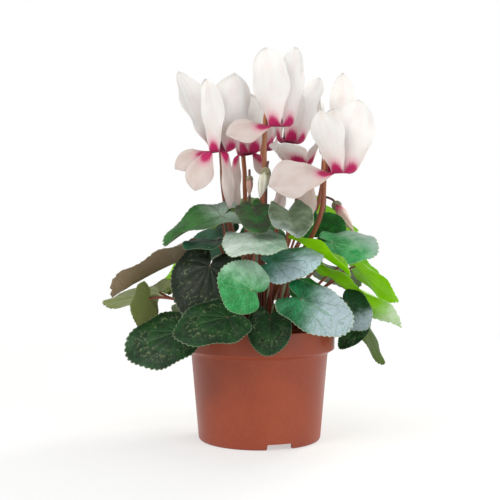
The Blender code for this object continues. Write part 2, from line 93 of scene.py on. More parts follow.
def splineThrough(knots, perSpan):
    # Catmull-Rom: between two knots, a cubic whose slopes come from the knots on either side
    knots = np.asarray(knots, float)
    ends = np.vstack([2 * knots[0] - knots[1], knots, 2 * knots[-1] - knots[-2]])
    a, b, c, d = (ends[start:len(ends) - 3 + start, None, :] for start in range(4))
    t = np.linspace(0, 1, perSpan, endpoint=False)[None, :, None]
    spans = 0.5 * (2 * b + (c - a) * t + (2 * a - 5 * b + 4 * c - d) * t * t
                   + (3 * b - a - 3 * c + d) * t**3)
    return np.vstack([spans.reshape(-1, 3), knots[-1]])


def ripple(x, y, pitch, seed):
    # smooth unevenness from -1 to 1: seven sine waves of random direction and phase, about one pitch apart
    dice = np.random.default_rng(seed)
    total = np.zeros(np.broadcast(x, y).shape)
    waves = 7
    for _ in range(waves):
        angle, phase = dice.uniform(0, 2 * math.pi), dice.uniform(0, 2 * math.pi)
        length = pitch * dice.uniform(0.7, 1.6)
        total += np.sin((x * math.cos(angle) + y * math.sin(angle)) * 2 * math.pi / length + phase)
    return total / waves


# Meshes: each part is a dictionary of points, faces and values that its material reads.

def gridQuads(rows, columns, closed=False):
    # the quads of a grid that is numbered row by row; a closed one joins its last column to its first
    index = np.arange(rows * columns).reshape(rows, columns)
    if closed:
        index = np.hstack([index, index[:, :1]])
    return np.stack([index[:-1, :-1], index[1:, :-1], index[1:, 1:], index[:-1, 1:]], -1).reshape(-1, 4)


def shell(middle, thickness, values):
    # a closed thin body: the sheet moved half its thickness each way along its normal, walled round its edge
    rows, columns = middle.shape[:2]
    normal = np.cross(np.gradient(middle, axis=0), np.gradient(middle, axis=1))
    size = np.linalg.norm(normal, axis=-1, keepdims=True)
    normal = normal / np.maximum(size, 1e-9)
    for edge, inner in ((0, 1), (columns - 1, columns - 2)):
        if size[:, edge].max() < 1e-6:  # a pole, where the sheet closes in a point
            normal[:, edge] = unit(normal[:, inner].mean(axis=0))
    half = normal * np.broadcast_to(thickness, (rows, columns))[..., None] / 2
    count = rows * columns
    index = np.arange(count).reshape(rows, columns)
    rim = np.concatenate([index[:-1, 0], index[-1, :-1], index[:0:-1, -1], index[0, :0:-1]])
    following = np.roll(rim, -1)
    quads = gridQuads(rows, columns)
    wall = np.stack([rim, rim + count, following + count, following], -1)
    points = np.concatenate([(middle + half).reshape(-1, 3), (middle - half).reshape(-1, 3)])
    doubled = {key: np.concatenate([value.reshape(count, -1)] * 2) for key, value in values.items()}
    doubled["under"] = np.repeat([0.0, 1.0], count)[:, None]
    return {"points": points, "faces": np.vstack([quads, quads[:, ::-1] + count, wall]), "values": doubled}


def sweep(path, radii, sides):
    # a round stem: a circle of each radius round each point of the path, square to it, closed at both ends
    tangent = unit(np.gradient(path, axis=0))
    flat = np.linalg.svd(path - path.mean(axis=0))[2][2]
    across = unit(np.cross(tangent, flat))[:, None]
    other = np.cross(tangent, across[:, 0])[:, None]
    radii = np.asarray(radii, float)
    if radii.ndim == 1:
        radii = np.repeat(radii[:, None], sides, axis=1)
    rings = path[:, None] + radii[..., None] * between(across, other, circle(sides)[None])
    first, last = (np.repeat(path[end][None, None], sides, axis=1) for end in (0, -1))
    grid = np.concatenate([first, rings, last])
    along = np.repeat(np.linspace(0, 1, len(grid)), sides)[:, None]
    return {"points": grid.reshape(-1, 3), "faces": gridQuads(len(grid), sides, closed=True),
            "values": {"along": along}}


def turned(profile, sides, bend=None):
    # a solid of revolution: the profile's radius and height at every angle, each end on the axis
    turn = circle(sides)
    radius, height = (np.asarray(profile, float)[:, part][:, None] * np.ones(sides) for part in (0, 1))
    if bend is not None:
        radius, height = bend(radius, height, turn[None, :])
    grid = np.stack([*polar(radius, turn), height], -1)
    return {"points": grid.reshape(-1, 3), "faces": gridQuads(len(profile), sides, closed=True), "values": {}}


def rounded(corners):
    # a profile whose corners, given as (radius, height, rounding), are arcs, each tangent to its two sides
    t = np.linspace(0, 1, 5)[:, None]
    made = [np.array([corners[0][:2]], float)]
    for before, corner, after in zip(corners, corners[1:], corners[2:]):
        place, rounding = np.array(corner[:2], float), corner[2]
        start = place + unit(np.subtract(before[:2], place)) * rounding
        end = place + unit(np.subtract(after[:2], place)) * rounding
        made.append((1 - t) ** 2 * start + 2 * (1 - t) * t * place + t * t * end)
    return np.vstack(made + [np.array([corners[-1][:2]], float)])


def facedOutwards(mesh, weld=0.0):
    work = bmesh.new()
    work.from_mesh(mesh)
    if weld:
        bmesh.ops.remove_doubles(work, verts=work.verts, dist=weld)
    bmesh.ops.recalc_face_normals(work, faces=work.faces)
    work.to_mesh(mesh)
    work.free()


def standing(name, data):
    made = bpy.data.objects.new(name, data)
    bpy.context.scene.collection.objects.link(made)
    return made


def addPiece(name, parts, materials, slotName, *nodes):
    # joins the parts in one mesh, closes their poles and seams, and puts it in the frame for its nodes
    offsets = np.cumsum([0] + [len(part["points"]) for part in parts])
    points = np.vstack([part["points"] for part in parts]) * millimetre + potAxis
    faces = np.vstack([part["faces"] + offset for part, offset in zip(parts, offsets)])
    mesh = bpy.data.meshes.new(name)
    mesh.from_pydata(points, [], faces)
    for material in materials:
        mesh.materials.append(material)
    slots = np.concatenate([np.full(len(part["faces"]), part.get("material", 0)) for part in parts])
    mesh.polygons.foreach_set("material_index", slots.astype(np.int32))
    for key in sorted({key for part in parts for key in part["values"]}):
        width = max(part["values"][key].shape[1] for part in parts if key in part["values"])
        column = np.vstack([part["values"].get(key, np.zeros((len(part["points"]), width)))
                            for part in parts])
        if width == 2:
            corners = np.empty(len(mesh.loops), np.int32)
            mesh.loops.foreach_get("vertex_index", corners)
            layer = mesh.uv_layers.new(name=key)
            layer.data.foreach_set("uv", column[corners].astype(np.float32).ravel())
        else:
            layer = mesh.attributes.new(key, "FLOAT", "POINT")
            layer.data.foreach_set("value", column.astype(np.float32).ravel())
    facedOutwards(mesh, weld=0.000002)
    mesh.shade_smooth()
    mesh.set_sharp_from_angle(angle=math.radians(50))
    piece = standing(name, mesh)
    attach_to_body(piece, "root")
    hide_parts(*nodes)
    return piece


# Materials: a Wire is what flows out of a node, and sums of wires become Math nodes.

class Wire:
    def __init__(self, socket):
        self.socket, self.tree = socket, socket.id_data

    def __add__(self, other):
        return calc("ADD", self, other)

    def __mul__(self, other):
        return calc("MULTIPLY", self, other)

    def __sub__(self, other):
        return calc("SUBTRACT", self, other)

    def __rsub__(self, other):
        return calc("SUBTRACT", other, self)

    __radd__, __rmul__ = __add__, __mul__


def paint(red, green, blue):
    # a colour as it looks on a screen, 0 to 255, made linear for the shader
    share = np.array([red, green, blue]) / 255
    linear = np.where(share <= 0.04045, share / 12.92, ((share + 0.055) / 1.055) ** 2.4)
    return (*[float(part) for part in linear], 1.0)


def feed(value, socket):
    if isinstance(value, Wire):
        value.tree.links.new(value.socket, socket)
    else:
        socket.default_value = value


def newNode(tree, kind, inputs, **settings):
    node = tree.nodes.new("ShaderNode" + kind)
    for name, value in settings.items():
        setattr(node, name, value)
    for name, value in inputs.items():
        feed(value, node.inputs[name])
    return node


def wired(tree, kind, inputs, output=0, **settings):
    return Wire(newNode(tree, kind, inputs, **settings).outputs[output])


def calc(operation, *values):
    tree = next(value.tree for value in values if isinstance(value, Wire))
    return wired(tree, "Math", dict(enumerate(values)), operation=operation)


def step(value, low, high):
    # a smooth step from 0 at low to 1 at high
    inputs = {"Value": value, "From Min": low, "From Max": high}
    return wired(value.tree, "MapRange", inputs, interpolation_type="SMOOTHSTEP")


def fade(value, low, high):
    return 1.0 - step(value, low, high)


def mix(factor, first, second):
    tree = next(value.tree for value in (factor, first, second) if isinstance(value, Wire))
    return wired(tree, "Mix", {0: factor, 6: first, 7: second}, 2, data_type="RGBA")


def noise(place, scale, detail=3.0, roughness=0.55, distortion=0.0):
    inputs = {"Vector": place, "Scale": scale, "Detail": detail, "Roughness": roughness,
              "Distortion": distortion}
    return wired(place.tree, "TexNoise", inputs)


def stretched(place, scale, location=(0, 0, 0)):
    return wired(place.tree, "Mapping", {"Vector": place, "Scale": scale, "Location": location})


def split(vector):
    return [Wire(part) for part in newNode(vector.tree, "SeparateXYZ", {0: vector}).outputs]


def attribute(tree, name):
    return wired(tree, "Attribute", {}, "Fac", attribute_name=name)


def uvMap(tree, name):
    return wired(tree, "UVMap", {}, "UV", uv_map=name)


def objectPlace(tree):
    return wired(tree, "TexCoord", {}, "Object")


def newMaterial(name, roughness, **sockets):
    material = bpy.data.materials.new(name)
    material.use_nodes = True
    shader = material.node_tree.nodes["Principled BSDF"]
    shader.inputs["Roughness"].default_value = roughness
    for socket, value in sockets.items():
        shader.inputs[socket.replace("_", " ")].default_value = value
    return material, material.node_tree, shader


def coat(shader, colour, height, distance):
    # the colour over the surface, and its relief in metres
    feed(colour, shader.inputs["Base Color"])
    relief = wired(shader.id_data, "Bump", {"Distance": distance, "Height": height})
    feed(relief, shader.inputs["Normal"])


def blend(tree, share, shader, other):
    both = wired(tree, "MixShader", {0: share, 1: Wire(shader.outputs[0]), 2: other})
    feed(both, tree.nodes["Material Output"].inputs["Surface"])


def letLightThrough(tree, shader, colour, share):
    # thin tissue: part of the light that falls on its far side comes through
    blend(tree, share, shader, wired(tree, "BsdfTranslucent", {"Color": colour}))


def newGroup(name, inputs, values="height"):
    # its inputs are named for each kind of socket, and it puts out a colour and values
    group = bpy.data.node_groups.new(name, "ShaderNodeTree")
    for side, sockets in (("INPUT", inputs), ("OUTPUT", {"Color": "colour", "Float": values})):
        for kind, labels in sockets.items():
            for label in labels.split():
                group.interface.new_socket(label, in_out=side, socket_type="NodeSocket" + kind)
    given = {socket.name: Wire(socket) for socket in group.nodes.new("NodeGroupInput").outputs if socket.name}
    return group, given, group.nodes.new("NodeGroupOutput").inputs


def useGroup(tree, group, **values):
    # values that the group has no input for are left out
    node = newNode(tree, "Group", {}, node_tree=group)
    for name, value in values.items():
        if name in node.inputs:
            feed(value, node.inputs[name])
    return {output.name: Wire(output) for output in node.outputs}


def groupMaterial(name, group, roughness, specular, depth, attributes=(), **values):
    # a material painted by a group, from its place on the object, the mesh's own attributes and plain values
    material, tree, shader = newMaterial(name, roughness, Specular_IOR_Level=specular)
    read = {label: attribute(tree, label) for label in attributes}
    painted = useGroup(tree, group, place=objectPlace(tree), **read, **values)
    coat(shader, painted["colour"], painted["height"], depth)
    return material, tree, shader, painted["colour"]


studio = {
    "cameraPlace": (-7.6, -838.0, 178.0),  # mm from the pot's axis
    "cameraPitch": -1.86,  # degrees, a little downwards
    "lens": 75.6,
    # each light: place and aim in mm, size, power and colour
    "lights": {
        "keyLight": ((-900, -900, 1000), (0, 0, 150), 0.8, 13.0, (1.0, 0.98, 0.95)),
        "fillLight": ((900, -800, 400), (0, 0, 150), 0.7, 5.0, (0.95, 0.97, 1.0)),
        "backLight": ((700, 800, 700), (40, 0, 150), 0.5, 10.0, (1.0, 0.97, 0.88)),
    },
    "ambient": 0.62, "backdrop": 1.0, "floorTone": 0.9, "floorGlow": 0.5, "floorReach": 9.0,
}


def makeLights():
    for name, (place, aim, size, power, colour) in studio["lights"].items():
        light = bpy.data.lights.new(name, "AREA")
        light.shape, light.size, light.energy, light.color = "DISK", size, power, colour
        lamp = standing(name, light)
        lamp.location = np.array(place) * millimetre + potAxis
        lamp.rotation_euler = Vector(np.subtract(aim, place).tolist()).to_track_quat("-Z", "Y").to_euler()


def makeBackdrop():
    # the camera sees plain white, and the plant is lit by less
    world = bpy.data.worlds.new("softWhite")
    world.use_nodes = True
    tree = world.node_tree
    seen = wired(tree, "LightPath", {}, "Is Camera Ray")
    light = {"Value": seen, "To Min": studio["ambient"], "To Max": studio["backdrop"]}
    feed(wired(tree, "MapRange", light), tree.nodes["Background"].inputs["Strength"])
    tree.nodes["Background"].inputs["Color"].default_value = (1.0, 1.0, 1.0, 1.0)
    bpy.context.scene.world = world
    bpy.context.scene.view_settings.view_transform = "Standard"


def makeFloor():
    # it partly glows near the plant, and fades into the backdrop farther off
    far, tone = studio["floorReach"], studio["floorTone"]
    mesh = bpy.data.meshes.new("floor")
    mesh.from_pydata([(-far, -far, 0), (far, -far, 0), (far, far, 0), (-far, far, 0)], [], [(0, 1, 2, 3)])
    floor = standing("floor", mesh)
    material, tree, shader = newMaterial("paleFloor", 0.7)
    shader.inputs["Base Color"].default_value = (tone, tone, tone, 1.0)
    glow = wired(tree, "Emission", {"Strength": studio["backdrop"]})
    off = step(wired(tree, "VectorMath", {0: objectPlace(tree)}, "Value", operation="LENGTH"), 0.05, 0.9)
    blend(tree, off * (1 - studio["floorGlow"]) + studio["floorGlow"], shader, glow)
    mesh.materials.append(material)


def makeStudio():
    camera = standing("camera", bpy.data.cameras.new("camera"))
    camera.data.lens = studio["lens"]
    camera.location = np.array(studio["cameraPlace"]) * millimetre + potAxis
    camera.rotation_euler = (math.radians(90 + studio["cameraPitch"]), 0, 0)
    bpy.context.scene.camera = camera
    makeLights()
    makeBackdrop()
    makeFloor()


makeStudio()
print("studio made")

pot = {
    "rimRadius": 60.0, "bodyTopRadius": 54.6, "footRadius": 48.6, "wall": 1.3,
    "rimBand": 17.4, "chamfer": 3.1, "floorUnder": 5.6, "footWidth": 1.0, "footEase": 2.4,
    "notches": 3, "notchWidth": 20.5, "notchHeight": 4.6, "notchAt": -71.5, "notchRound": 1.3,
    "notchReach": 7.0,  # how far its cutter goes to either side of the foot's radius
    "drains": 6, "drainRadius": 4.0, "drainRing": 31.0, "drainCut": 6.0, "sides": 192,
    "colour": paint(148, 67, 40), "shade": paint(138, 60, 37), "bloom": paint(160, 86, 60),
    "roughness": 0.40, "worn": 0.22, "grain": 0.2,
}
bandBottom = potTop - pot["rimBand"]
bodyTop = bandBottom - pot["chamfer"]


def potMaterial():
    material, tree, shader = newMaterial("potPlastic", pot["roughness"], Specular_IOR_Level=0.32)
    place = stretched(objectPlace(tree), (1, 1, 1), tuple(-potAxis))
    cloud = noise(place, 26.0, 4.0)
    fine = noise(place, 900.0, 2.0)
    rings = noise(stretched(place, (6.0, 6.0, 420.0)), 1.0, 2.0)
    scuffs = noise(stretched(place, (160.0, 160.0, 700.0)), 1.0, 4.0, 0.7)
    grain = noise(stretched(place, (900.0, 900.0, 260.0)), 1.0, 4.0, 0.7)
    colour = mix(step(cloud, 0.35, 0.7), pot["shade"], pot["colour"])
    colour = mix(step(scuffs, 0.64, 0.78) * pot["worn"], colour, pot["bloom"])
    colour = mix(step(grain, 0.4, 0.7) * pot["grain"], colour, pot["bloom"])
    colour = mix(fade(split(place)[2], 0.0, 0.006) * 0.5, colour, pot["shade"])  # darker towards the foot
    feed(step(cloud, 0.3, 0.7) * 0.14 + (pot["roughness"] - 0.07), shader.inputs["Roughness"])
    coat(shader, colour, fine * 0.5 + rings * 0.6, 0.00006)
    return material


def notchCutter(outline, low, high, turn):
    # a flat outline, given as (across, up), carried outwards from low to high, then turned round the pot
    count = len(outline)
    points = np.vstack([np.column_stack([np.full(count, reach), outline]) for reach in (low, high)])
    cosine, sine = math.cos(turn), math.sin(turn)
    points = points @ np.array([[cosine, sine, 0], [-sine, cosine, 0], [0, 0, 1.0]])
    ring = np.arange(count)
    sides = np.stack([ring, np.roll(ring, -1), np.roll(ring, -1) + count, ring + count], -1).tolist()
    mesh = bpy.data.meshes.new("cutter")
    mesh.from_pydata((points * millimetre + potAxis).tolist(), [],
                     sides + [ring[::-1].tolist(), (ring + count).tolist()])
    facedOutwards(mesh)
    return standing("cutter", mesh)


def notchOutline():
    # half an arch: a flare at the foot and a rounded top, then its mirror
    half, top, curve = pot["notchWidth"] / 2, pot["notchHeight"], pot["notchRound"]
    arc = np.linspace(0, math.pi / 2, 5)
    right = np.column_stack([half - curve + curve * np.cos(arc), top - curve + curve * np.sin(arc)])
    flare = np.column_stack([half + curve - curve * np.sin(arc), curve - curve * np.cos(arc)])
    side = np.vstack([[half + curve, -2.0], flare, right])
    return np.vstack([side, side[::-1] * (-1, 1)])


def makePot():
    wall, foot = pot["wall"], pot["footRadius"]
    floorTop = pot["floorUnder"] + wall
    slope = (pot["bodyTopRadius"] - foot) / bodyTop
    footInner = foot - pot["footEase"] - pot["footWidth"]
    corners = [
        (0.0, floorTop, 0),
        (foot + slope * floorTop - wall, floorTop, 1.5),
        (pot["bodyTopRadius"] - wall, bodyTop, 0.8),
        (pot["rimRadius"] - wall, bandBottom + 0.4, 0.8),
        (pot["rimRadius"] - wall, potTop, 0.6),
        (pot["rimRadius"], potTop, 0.6),
        (pot["rimRadius"] - 0.1, bandBottom, 0.7),
        (pot["bodyTopRadius"], bodyTop, 0.9),
        (foot, 0.0, pot["footEase"]),
        (footInner, 0.0, 0.4),
        (footInner, pot["floorUnder"], 0.8),
        (0.0, pot["floorUnder"], 0),
    ]
    profile = rounded(corners)
    body = addPiece("nurseryPot", [turned(profile, pot["sides"])], [potMaterial()], "pot_plastic", "pot")
    outline = notchOutline()
    reach = pot["notchReach"]
    cutters = [notchCutter(outline, foot - reach, foot + reach, math.radians(pot["notchAt"]) + turn)
               for turn in circle(pot["notches"])]
    for turn in circle(pot["drains"]):
        bpy.ops.mesh.primitive_cylinder_add(vertices=24, radius=pot["drainRadius"] * millimetre,
                                            depth=pot["drainCut"] * millimetre)
        drain = bpy.context.object
        centre = towards(math.degrees(turn)) * pot["drainRing"] + (0, 0, floorTop)
        drain.location = centre * millimetre + potAxis
        cutters.append(drain)
    for cutter in cutters:
        cut = body.modifiers.new("cut", "BOOLEAN")
        cut.object, cut.operation, cut.solver = cutter, "DIFFERENCE", "EXACT"
    bpy.context.view_layer.update()
    solid = bpy.data.meshes.new_from_object(body.evaluated_get(bpy.context.evaluated_depsgraph_get()))
    body.modifiers.clear()
    body.data = solid
    solid.shade_smooth()
    solid.set_sharp_from_angle(angle=math.radians(40))
    for cutter in cutters:
        bpy.data.objects.remove(cutter, do_unlink=True)


makePot()
print("pot made")

soil = {
    "radius": 58.0, "edgeTop": 78.0, "heapTop": 81.6, "heapRadius": 24.0, "lump": 1.0, "sides": 150,
    "hollow": 5.0, "hollowRadius": 14,  # it sinks under the tuber
    "gap": 0.5,  # to the pot's inside
    "crumbs": 340, "crumbRings": 5, "crumbSides": 6, "crumbFlatness": 0.8, "crumbSeed": 5,
    "dark": paint(34, 24, 18), "mid": paint(66, 46, 34), "pale": paint(122, 96, 72),
}
tuber = {
    "top": 86.0, "curve": 40.0, "sides": 96,  # its top falls by radius squared over the curve
    "side": [(19.7, 77.0), (20.0, 74.0), (18.4, 70.0), (13.0, 65.0), (0.0, 64.0)],
    "dark": paint(52, 36, 26), "pale": paint(124, 92, 66),
}


def roughPaintGroup():
    # mottled, with pale fibres
    inputs = {"Vector": "place", "Float": "scale", "Color": "dark mid pale"}
    group, given, out = newGroup("roughPaint", inputs)
    scaled = {0: given["place"], "Scale": given["scale"]}
    place = wired(group, "VectorMath", scaled, operation="SCALE")
    broad = noise(place, 1.0, 5.0, 0.65)
    fibre = noise(stretched(place, (3.0, 1.0, 1.0)), 4.0, 4.0, 0.7, 0.6)
    colour = mix(step(broad, 0.38, 0.62), given["dark"], given["mid"])
    feed(mix(step(fibre, 0.6, 0.74) * 0.6, colour, given["pale"]), out["colour"])
    feed(broad + fibre, out["height"])
    return group


roughPaint = roughPaintGroup()


def makeCrumbs():
    # small uneven balls strewn on the soil outside the tuber
    dice = np.random.default_rng(soil["crumbSeed"])
    count, rings, sides = soil["crumbs"], soil["crumbRings"], soil["crumbSides"]
    reach = np.sqrt(dice.uniform(soil["heapRadius"] ** 2, (soil["radius"] - 3) ** 2, count))
    angle = dice.uniform(0, 2 * math.pi, count)
    size = dice.uniform(0.5, 1.5, count) ** 1.4
    drop = (soil["heapTop"] - soil["edgeTop"]) * ease(soil["heapRadius"], soil["radius"], reach)
    centres = np.column_stack([*polar(reach, angle), soil["heapTop"] - drop + 0.2])
    fall, turn = np.linspace(0, math.pi, rings)[:, None], circle(sides)[None]
    ball = [*polar(np.sin(fall), turn), soil["crumbFlatness"] * np.cos(fall) * np.ones_like(turn)]
    ball = np.stack(ball, -1).reshape(-1, 3)
    knobs = 1 + 0.35 * dice.uniform(-1, 1, (count, len(ball), 1))
    knobs[:, :sides] = knobs[:, :1]  # each pole stays one point
    knobs[:, -sides:] = knobs[:, -1:]
    stretch = dice.uniform(0.7, 1.4, (count, 1, 3))
    points = centres[:, None] + ball[None] * knobs * stretch * size[:, None, None]
    faces = gridQuads(rings, sides, closed=True)[None] + (np.arange(count) * len(ball))[:, None, None]
    return {"points": points.reshape(-1, 3), "faces": faces.reshape(-1, 4), "values": {}}


def makeSoil():
    edge, inset = soil["radius"], pot["wall"] + soil["gap"]
    bottom = pot["floorUnder"] + inset
    topRadius = np.concatenate([np.linspace(0, soil["heapRadius"], 14), np.linspace(26, edge - 0.5, 26)])
    heap = soil["heapTop"] - soil["hollow"] * (1 - ease(soil["hollowRadius"], soil["heapRadius"], topRadius))
    heap -= (soil["heapTop"] - soil["edgeTop"]) * ease(soil["heapRadius"], edge, topRadius)
    side = [(edge, soil["edgeTop"] - 0.6), (edge, bandBottom + 0.6), (pot["bodyTopRadius"] - inset, bodyTop),
            (pot["footRadius"] - inset, bottom), (0.0, bottom)]
    profile = np.vstack([np.column_stack([topRadius, heap]), side])

    def clumps(radius, height, turn):
        # lumps on the top only, smaller towards the wall of the pot
        onTop = np.zeros_like(radius)
        onTop[:len(topRadius)] = (1 - ease(edge - 3, edge, topRadius))[:, None]
        x, y = polar(radius, turn)
        lumps = ripple(x, y, 9.0, 11) + 0.8 * ripple(x, y, 4.0, 12) + 0.5 * np.abs(ripple(x, y, 2.4, 13))
        return radius, height + soil["lump"] * lumps * onTop

    material = groupMaterial("peat", roughPaint, 0.95, 0.2, 0.0006, scale=320.0, dark=soil["dark"],
                             mid=soil["mid"], pale=soil["pale"])[0]
    parts = [turned(profile, soil["sides"], clumps), makeCrumbs()]
    addPiece("peatSoil", parts, [material], "peat_soil", "soil")


def makeTuber():
    radius = np.array([0, 3, 6, 9, 12, 15, 17, 18.5])
    dome = np.column_stack([radius, tuber["top"] - radius * radius / tuber["curve"]])

    def cracks(radius, height, turn):
        x, y = polar(radius, turn)
        swell = 1 + 0.02 * ripple(x, y + height, 8.0, 21) - 0.015 * np.abs(np.sin(9 * turn + 0.2 * height))
        return radius * swell, height

    material = groupMaterial("corkySkin", roughPaint, 0.85, 0.2, 0.0004, scale=260.0, dark=tuber["dark"],
                             mid=tuber["pale"], pale=tuber["pale"])[0]
    body = turned(np.vstack([dome, tuber["side"]]), tuber["sides"], cracks)
    addPiece("corkyTuber", [body], [material], "tuber_skin", "tuber")


makeSoil()
makeTuber()
print("soil and tuber made")

leafShape = {
    # grid of a leaf, in rays from the petiole and rings: one that shows, one in front, one behind the rest
    "shown": (132, 20), "front": (233, 20), "behind": (96, 14),
    "inFront": (8, 11, 12, 13, 14, 15, 16, 18), "lastShown": 31, "alsoBehind": (2, 10, 19),
    "sinus": 0.10,  # half the slit behind the petiole, radians
    "thickness": 0.62, "teeth": 54, "toothDepth": 0.042, "ringEase": 0.85, "ownWidth": 0.64,
    "veins": (0.0, 0.46, 0.98, 1.72),  # radians from the midrib, mirrored
    "veinFineness": (1.0, 1.5, 1.9, 2.4),
    "veinBend": 0.16,  # how far a side vein turns towards the tip
    # depths and widths of the relief, in mm on a leaf of this length
    "length": 45, "groove": 0.22, "grooveWidth": 0.9, "puff": 0.48, "puffWidth": 3.5,
    "wave": 2.0, "uneven": 0.5, "unevenPitch": 16.0,
    "petioleRadius": 1.05, "petioleRoot": 1.5, "petioleSides": 12, "seed": 100,
}

# Each leaf: root angle and root ring on the crown, where its petiole meets the blade, its tip, the way
# its upper side faces, half width to length, droop, fold, twist in degrees, and its look
leaves = {
    "leaf_01": (185, 10, (-30, -27, 178), (-74, -38, 158), (0.1, -0.3, 1), 0.5, 0.1, 0.15, 14, "dusk"),
    "leaf_02": (158, 10, (-31, 24, 175), (-40, 52, 183), (-0.2, -0.3, 1), 0.52, 0.1, 0.1, 0, "moss"),
    "leaf_03": (187, 15, (-67, 2, 141), (-114, -16, 114), (-0.2, 0.1, 1), 0.48, 0.1, 0.5, 15, "paintedLightBrown"),
    "leaf_04": (172, 15, (-82, 16, 116), (-127, 14, 103), (-0.2, 0.3, 1), 0.6, 0.1, 0.1, 0, "olive"),
    "leaf_05": (202, 15, (-87, -19, 113), (-94, -30, 93), (-0.8, 0.5, 0.3), 0.92, 0.1, 0.1, 0, "olive"),
    "leaf_06": (155, 15, (-60, 36, 136), (-86, 46, 114), (-0.5, -0.4, 0.6), 0.52, 0.1, 0.05, 0, "backlitLime"),
    "leaf_07": (212, 10, (-33, -34, 159), (-57, -50, 154), (0, -0.2, 1), 0.5, 0.1, 0.0, 0, "teal"),
    "leaf_08": (254, 10, (-4, -52, 163), (-5, -93.97, 149), (0, -0.5, 1), 0.52, 0.05, -0.1, 0, "silver"),
    "leaf_09": (235, 10, (-5.5, -38, 184), (0, -66, 165), (0, -0.6, 1), 0.4, 0.12, 0.05, 0, "brownSheen"),
    "leaf_10": (135, 10, (-10, 33, 187), (-14, 58, 194), (0, -0.3, 1), 0.42, 0.1, 0.1, 0, "moss"),
    "leaf_11": (233, 15, (-38, -44, 140), (-49, -50, 99), (-0.25, -1, 0.2), 0.66, 0.25, -0.05, 0, "night"),
    "leaf_12": (248, 15, (-24, -74, 104), (-64, -76, 93), (0, -0.6, 0.8), 0.55, 0.12, -0.05, 0, "marbled"),
    "leaf_13": (263, 15, (-6, -80, 124.6), (-29, -84, 138), (0.1, -0.9, 0.4), 0.74, 0.12, -0.05, 0, "fresh"),
    "leaf_14": (218, 15, (-62, -54, 91), (-102, -50, 75), (-0.2, -0.7, 0.7), 0.58, 0.12, -0.05, 0, "marbled"),
    "leaf_15": (278, 15, (7, -65, 101), (5, -72, 75), (0, -1, 0.3), 0.58, 0.1, -0.05, 0, "marbled"),
    "leaf_16": (294, 15, (30, -74, 117), (65, -83, 97), (0.1, -0.8, 0.55), 0.48, 0.12, -0.08, 0, "silverTip"),
    "leaf_17": (309, 15, (42, -54, 118), (22, -60, 125), (0, -0.8, 0.5), 0.55, 0.1, 0.0, 0, "green"),
    "leaf_18": (297, 10, (11, -51, 143.5), (47, -63, 144), (0, -0.6, 0.8), 0.54, 0.1, -0.05, 0, "silverLow"),
    "leaf_19": (93, 15, (-6, 74, 96), (-10, 90, 60), (0, 1, 0.3), 0.6, 0.1, 0.0, 0, "marbled"),
    "leaf_20": (316, 10, (22, -42, 180), (27, -76, 161), (0, -0.5, 0.9), 0.4, 0.05, 0.25, 0, "brownSheenAndSilver"),
    "leaf_21": (336, 10, (36, -34, 154), (69, -45, 134), (0.2, 0.1, 1), 0.38, 0.05, 0.4, 0, "backlitLime"),
    "leaf_22": (30, 10, (50, 20, 162), (70, 15, 173), (0, -0.9, 0.4), 0.72, 0.1, 0.05, 0, "green"),
    "leaf_23": (48, 10, (50, 70, 184), (84, 62, 163), (0.2, 0.4, 0.9), 0.45, 0.1, 0.1, 0, "backlitLime"),
    "leaf_24": (354, 10, (57, -9, 157), (92, -25, 150), (0, -0.6, 0.8), 0.52, 0.1, -0.05, 0, "greenSilver"),
    "leaf_25": (4, 15, (78, 12, 137), (110, 4, 107), (0.7, 0.3, 0.6), 0.42, 0.1, 0.1, 0, "backlitLime"),
    "leaf_26": (32, 15, (79, 35, 143), (102, 40, 124), (0.5, 0.2, 0.7), 0.5, 0.1, 0.1, 0, "backlitLime"),
    "leaf_27": (336, 15, (58, -32, 128), (106, -38, 92), (0.5, 0.16, 0.8), 0.36, 0.05, 0.2, -17, "backlitLimeGlareTip"),
    "leaf_28": (323, 15, (65, -52, 113), (79, -60, 93), (0.3, -0.8, 0.6), 0.66, 0.1, 0.0, 0, "darkSilver"),
    "leaf_29": (350, 15, (77, -24, 92), (62, -30, 76), (-0.2, -1, 0.3), 0.38, 0.1, 0.0, 0, "marbled"),
    "leaf_30": (18, 15, (83, 10, 92), (98, 10, 57), (0.9, 0.2, 0.3), 0.5, 0.1, 0.05, 0, "moss"),
    "leaf_31": (14, 10, (33, 10, 180), (40, -2, 160), (-0.4, -0.8, 0.4), 0.5, 0.1, 0.0, 0, "bright"),
    "leaf_32": (47, 15, (52, 58, 136), (82, 86, 114), (0.2, 0.2, 1), 0.6, 0.15, 0.0, 0, "green"),
    "leaf_33": (88, 10, (4, 42, 157), (0, 66, 175), (0, -0.6, 0.8), 0.62, 0.12, 0.0, 0, "green"),
    "leaf_34": (78, 15, (12, 72, 126), (16, 112, 104), (0, 0.4, 1), 0.62, 0.15, 0.0, 0, "marbled"),
    "leaf_35": (114, 10, (-14, 58, 148), (-26, 96, 132), (0, 0.3, 1), 0.62, 0.15, 0.0, 0, "green"),
    "leaf_36": (109, 15, (-42, 68, 110), (-64, 96, 84), (-0.2, 0.5, 0.8), 0.62, 0.12, 0.0, 0, "marbled"),
    "leaf_37": (140, 15, (-30, 34, 160), (-58, 50, 152), (0, -0.7, 0.7), 0.62, 0.12, 0.0, 0, "teal"),
    "leaf_38": (62, 15, (48, 66, 100), (70, 90, 72), (0.3, 0.5, 0.8), 0.6, 0.12, 0.0, 0, "darkSilver"),
}

# A look: ground and patch colours as in paint, silver colour (the leaf's marbling with painted sky reflection
# and glare in it), where that lies (offset, slope towards the tip, slope to the right half), speckled band,
# veins, under side, and the light that it lets through
plainLook = {
    "silver": (176, 192, 190), "silverOffset": -1.0, "silverTip": 0.0, "silverSide": 0.0,
    "speckle": 0.0, "speckleColour": (136, 150, 104),
    "veinColour": (112, 146, 92), "veinStrength": 0.35, "rim": 0.35, "rimColour": (186, 200, 164),
    "under": (104, 118, 72), "underSilver": 0.0, "through": 0.16, "throughColour": (120, 170, 30),
    "roughness": 0.42,
}


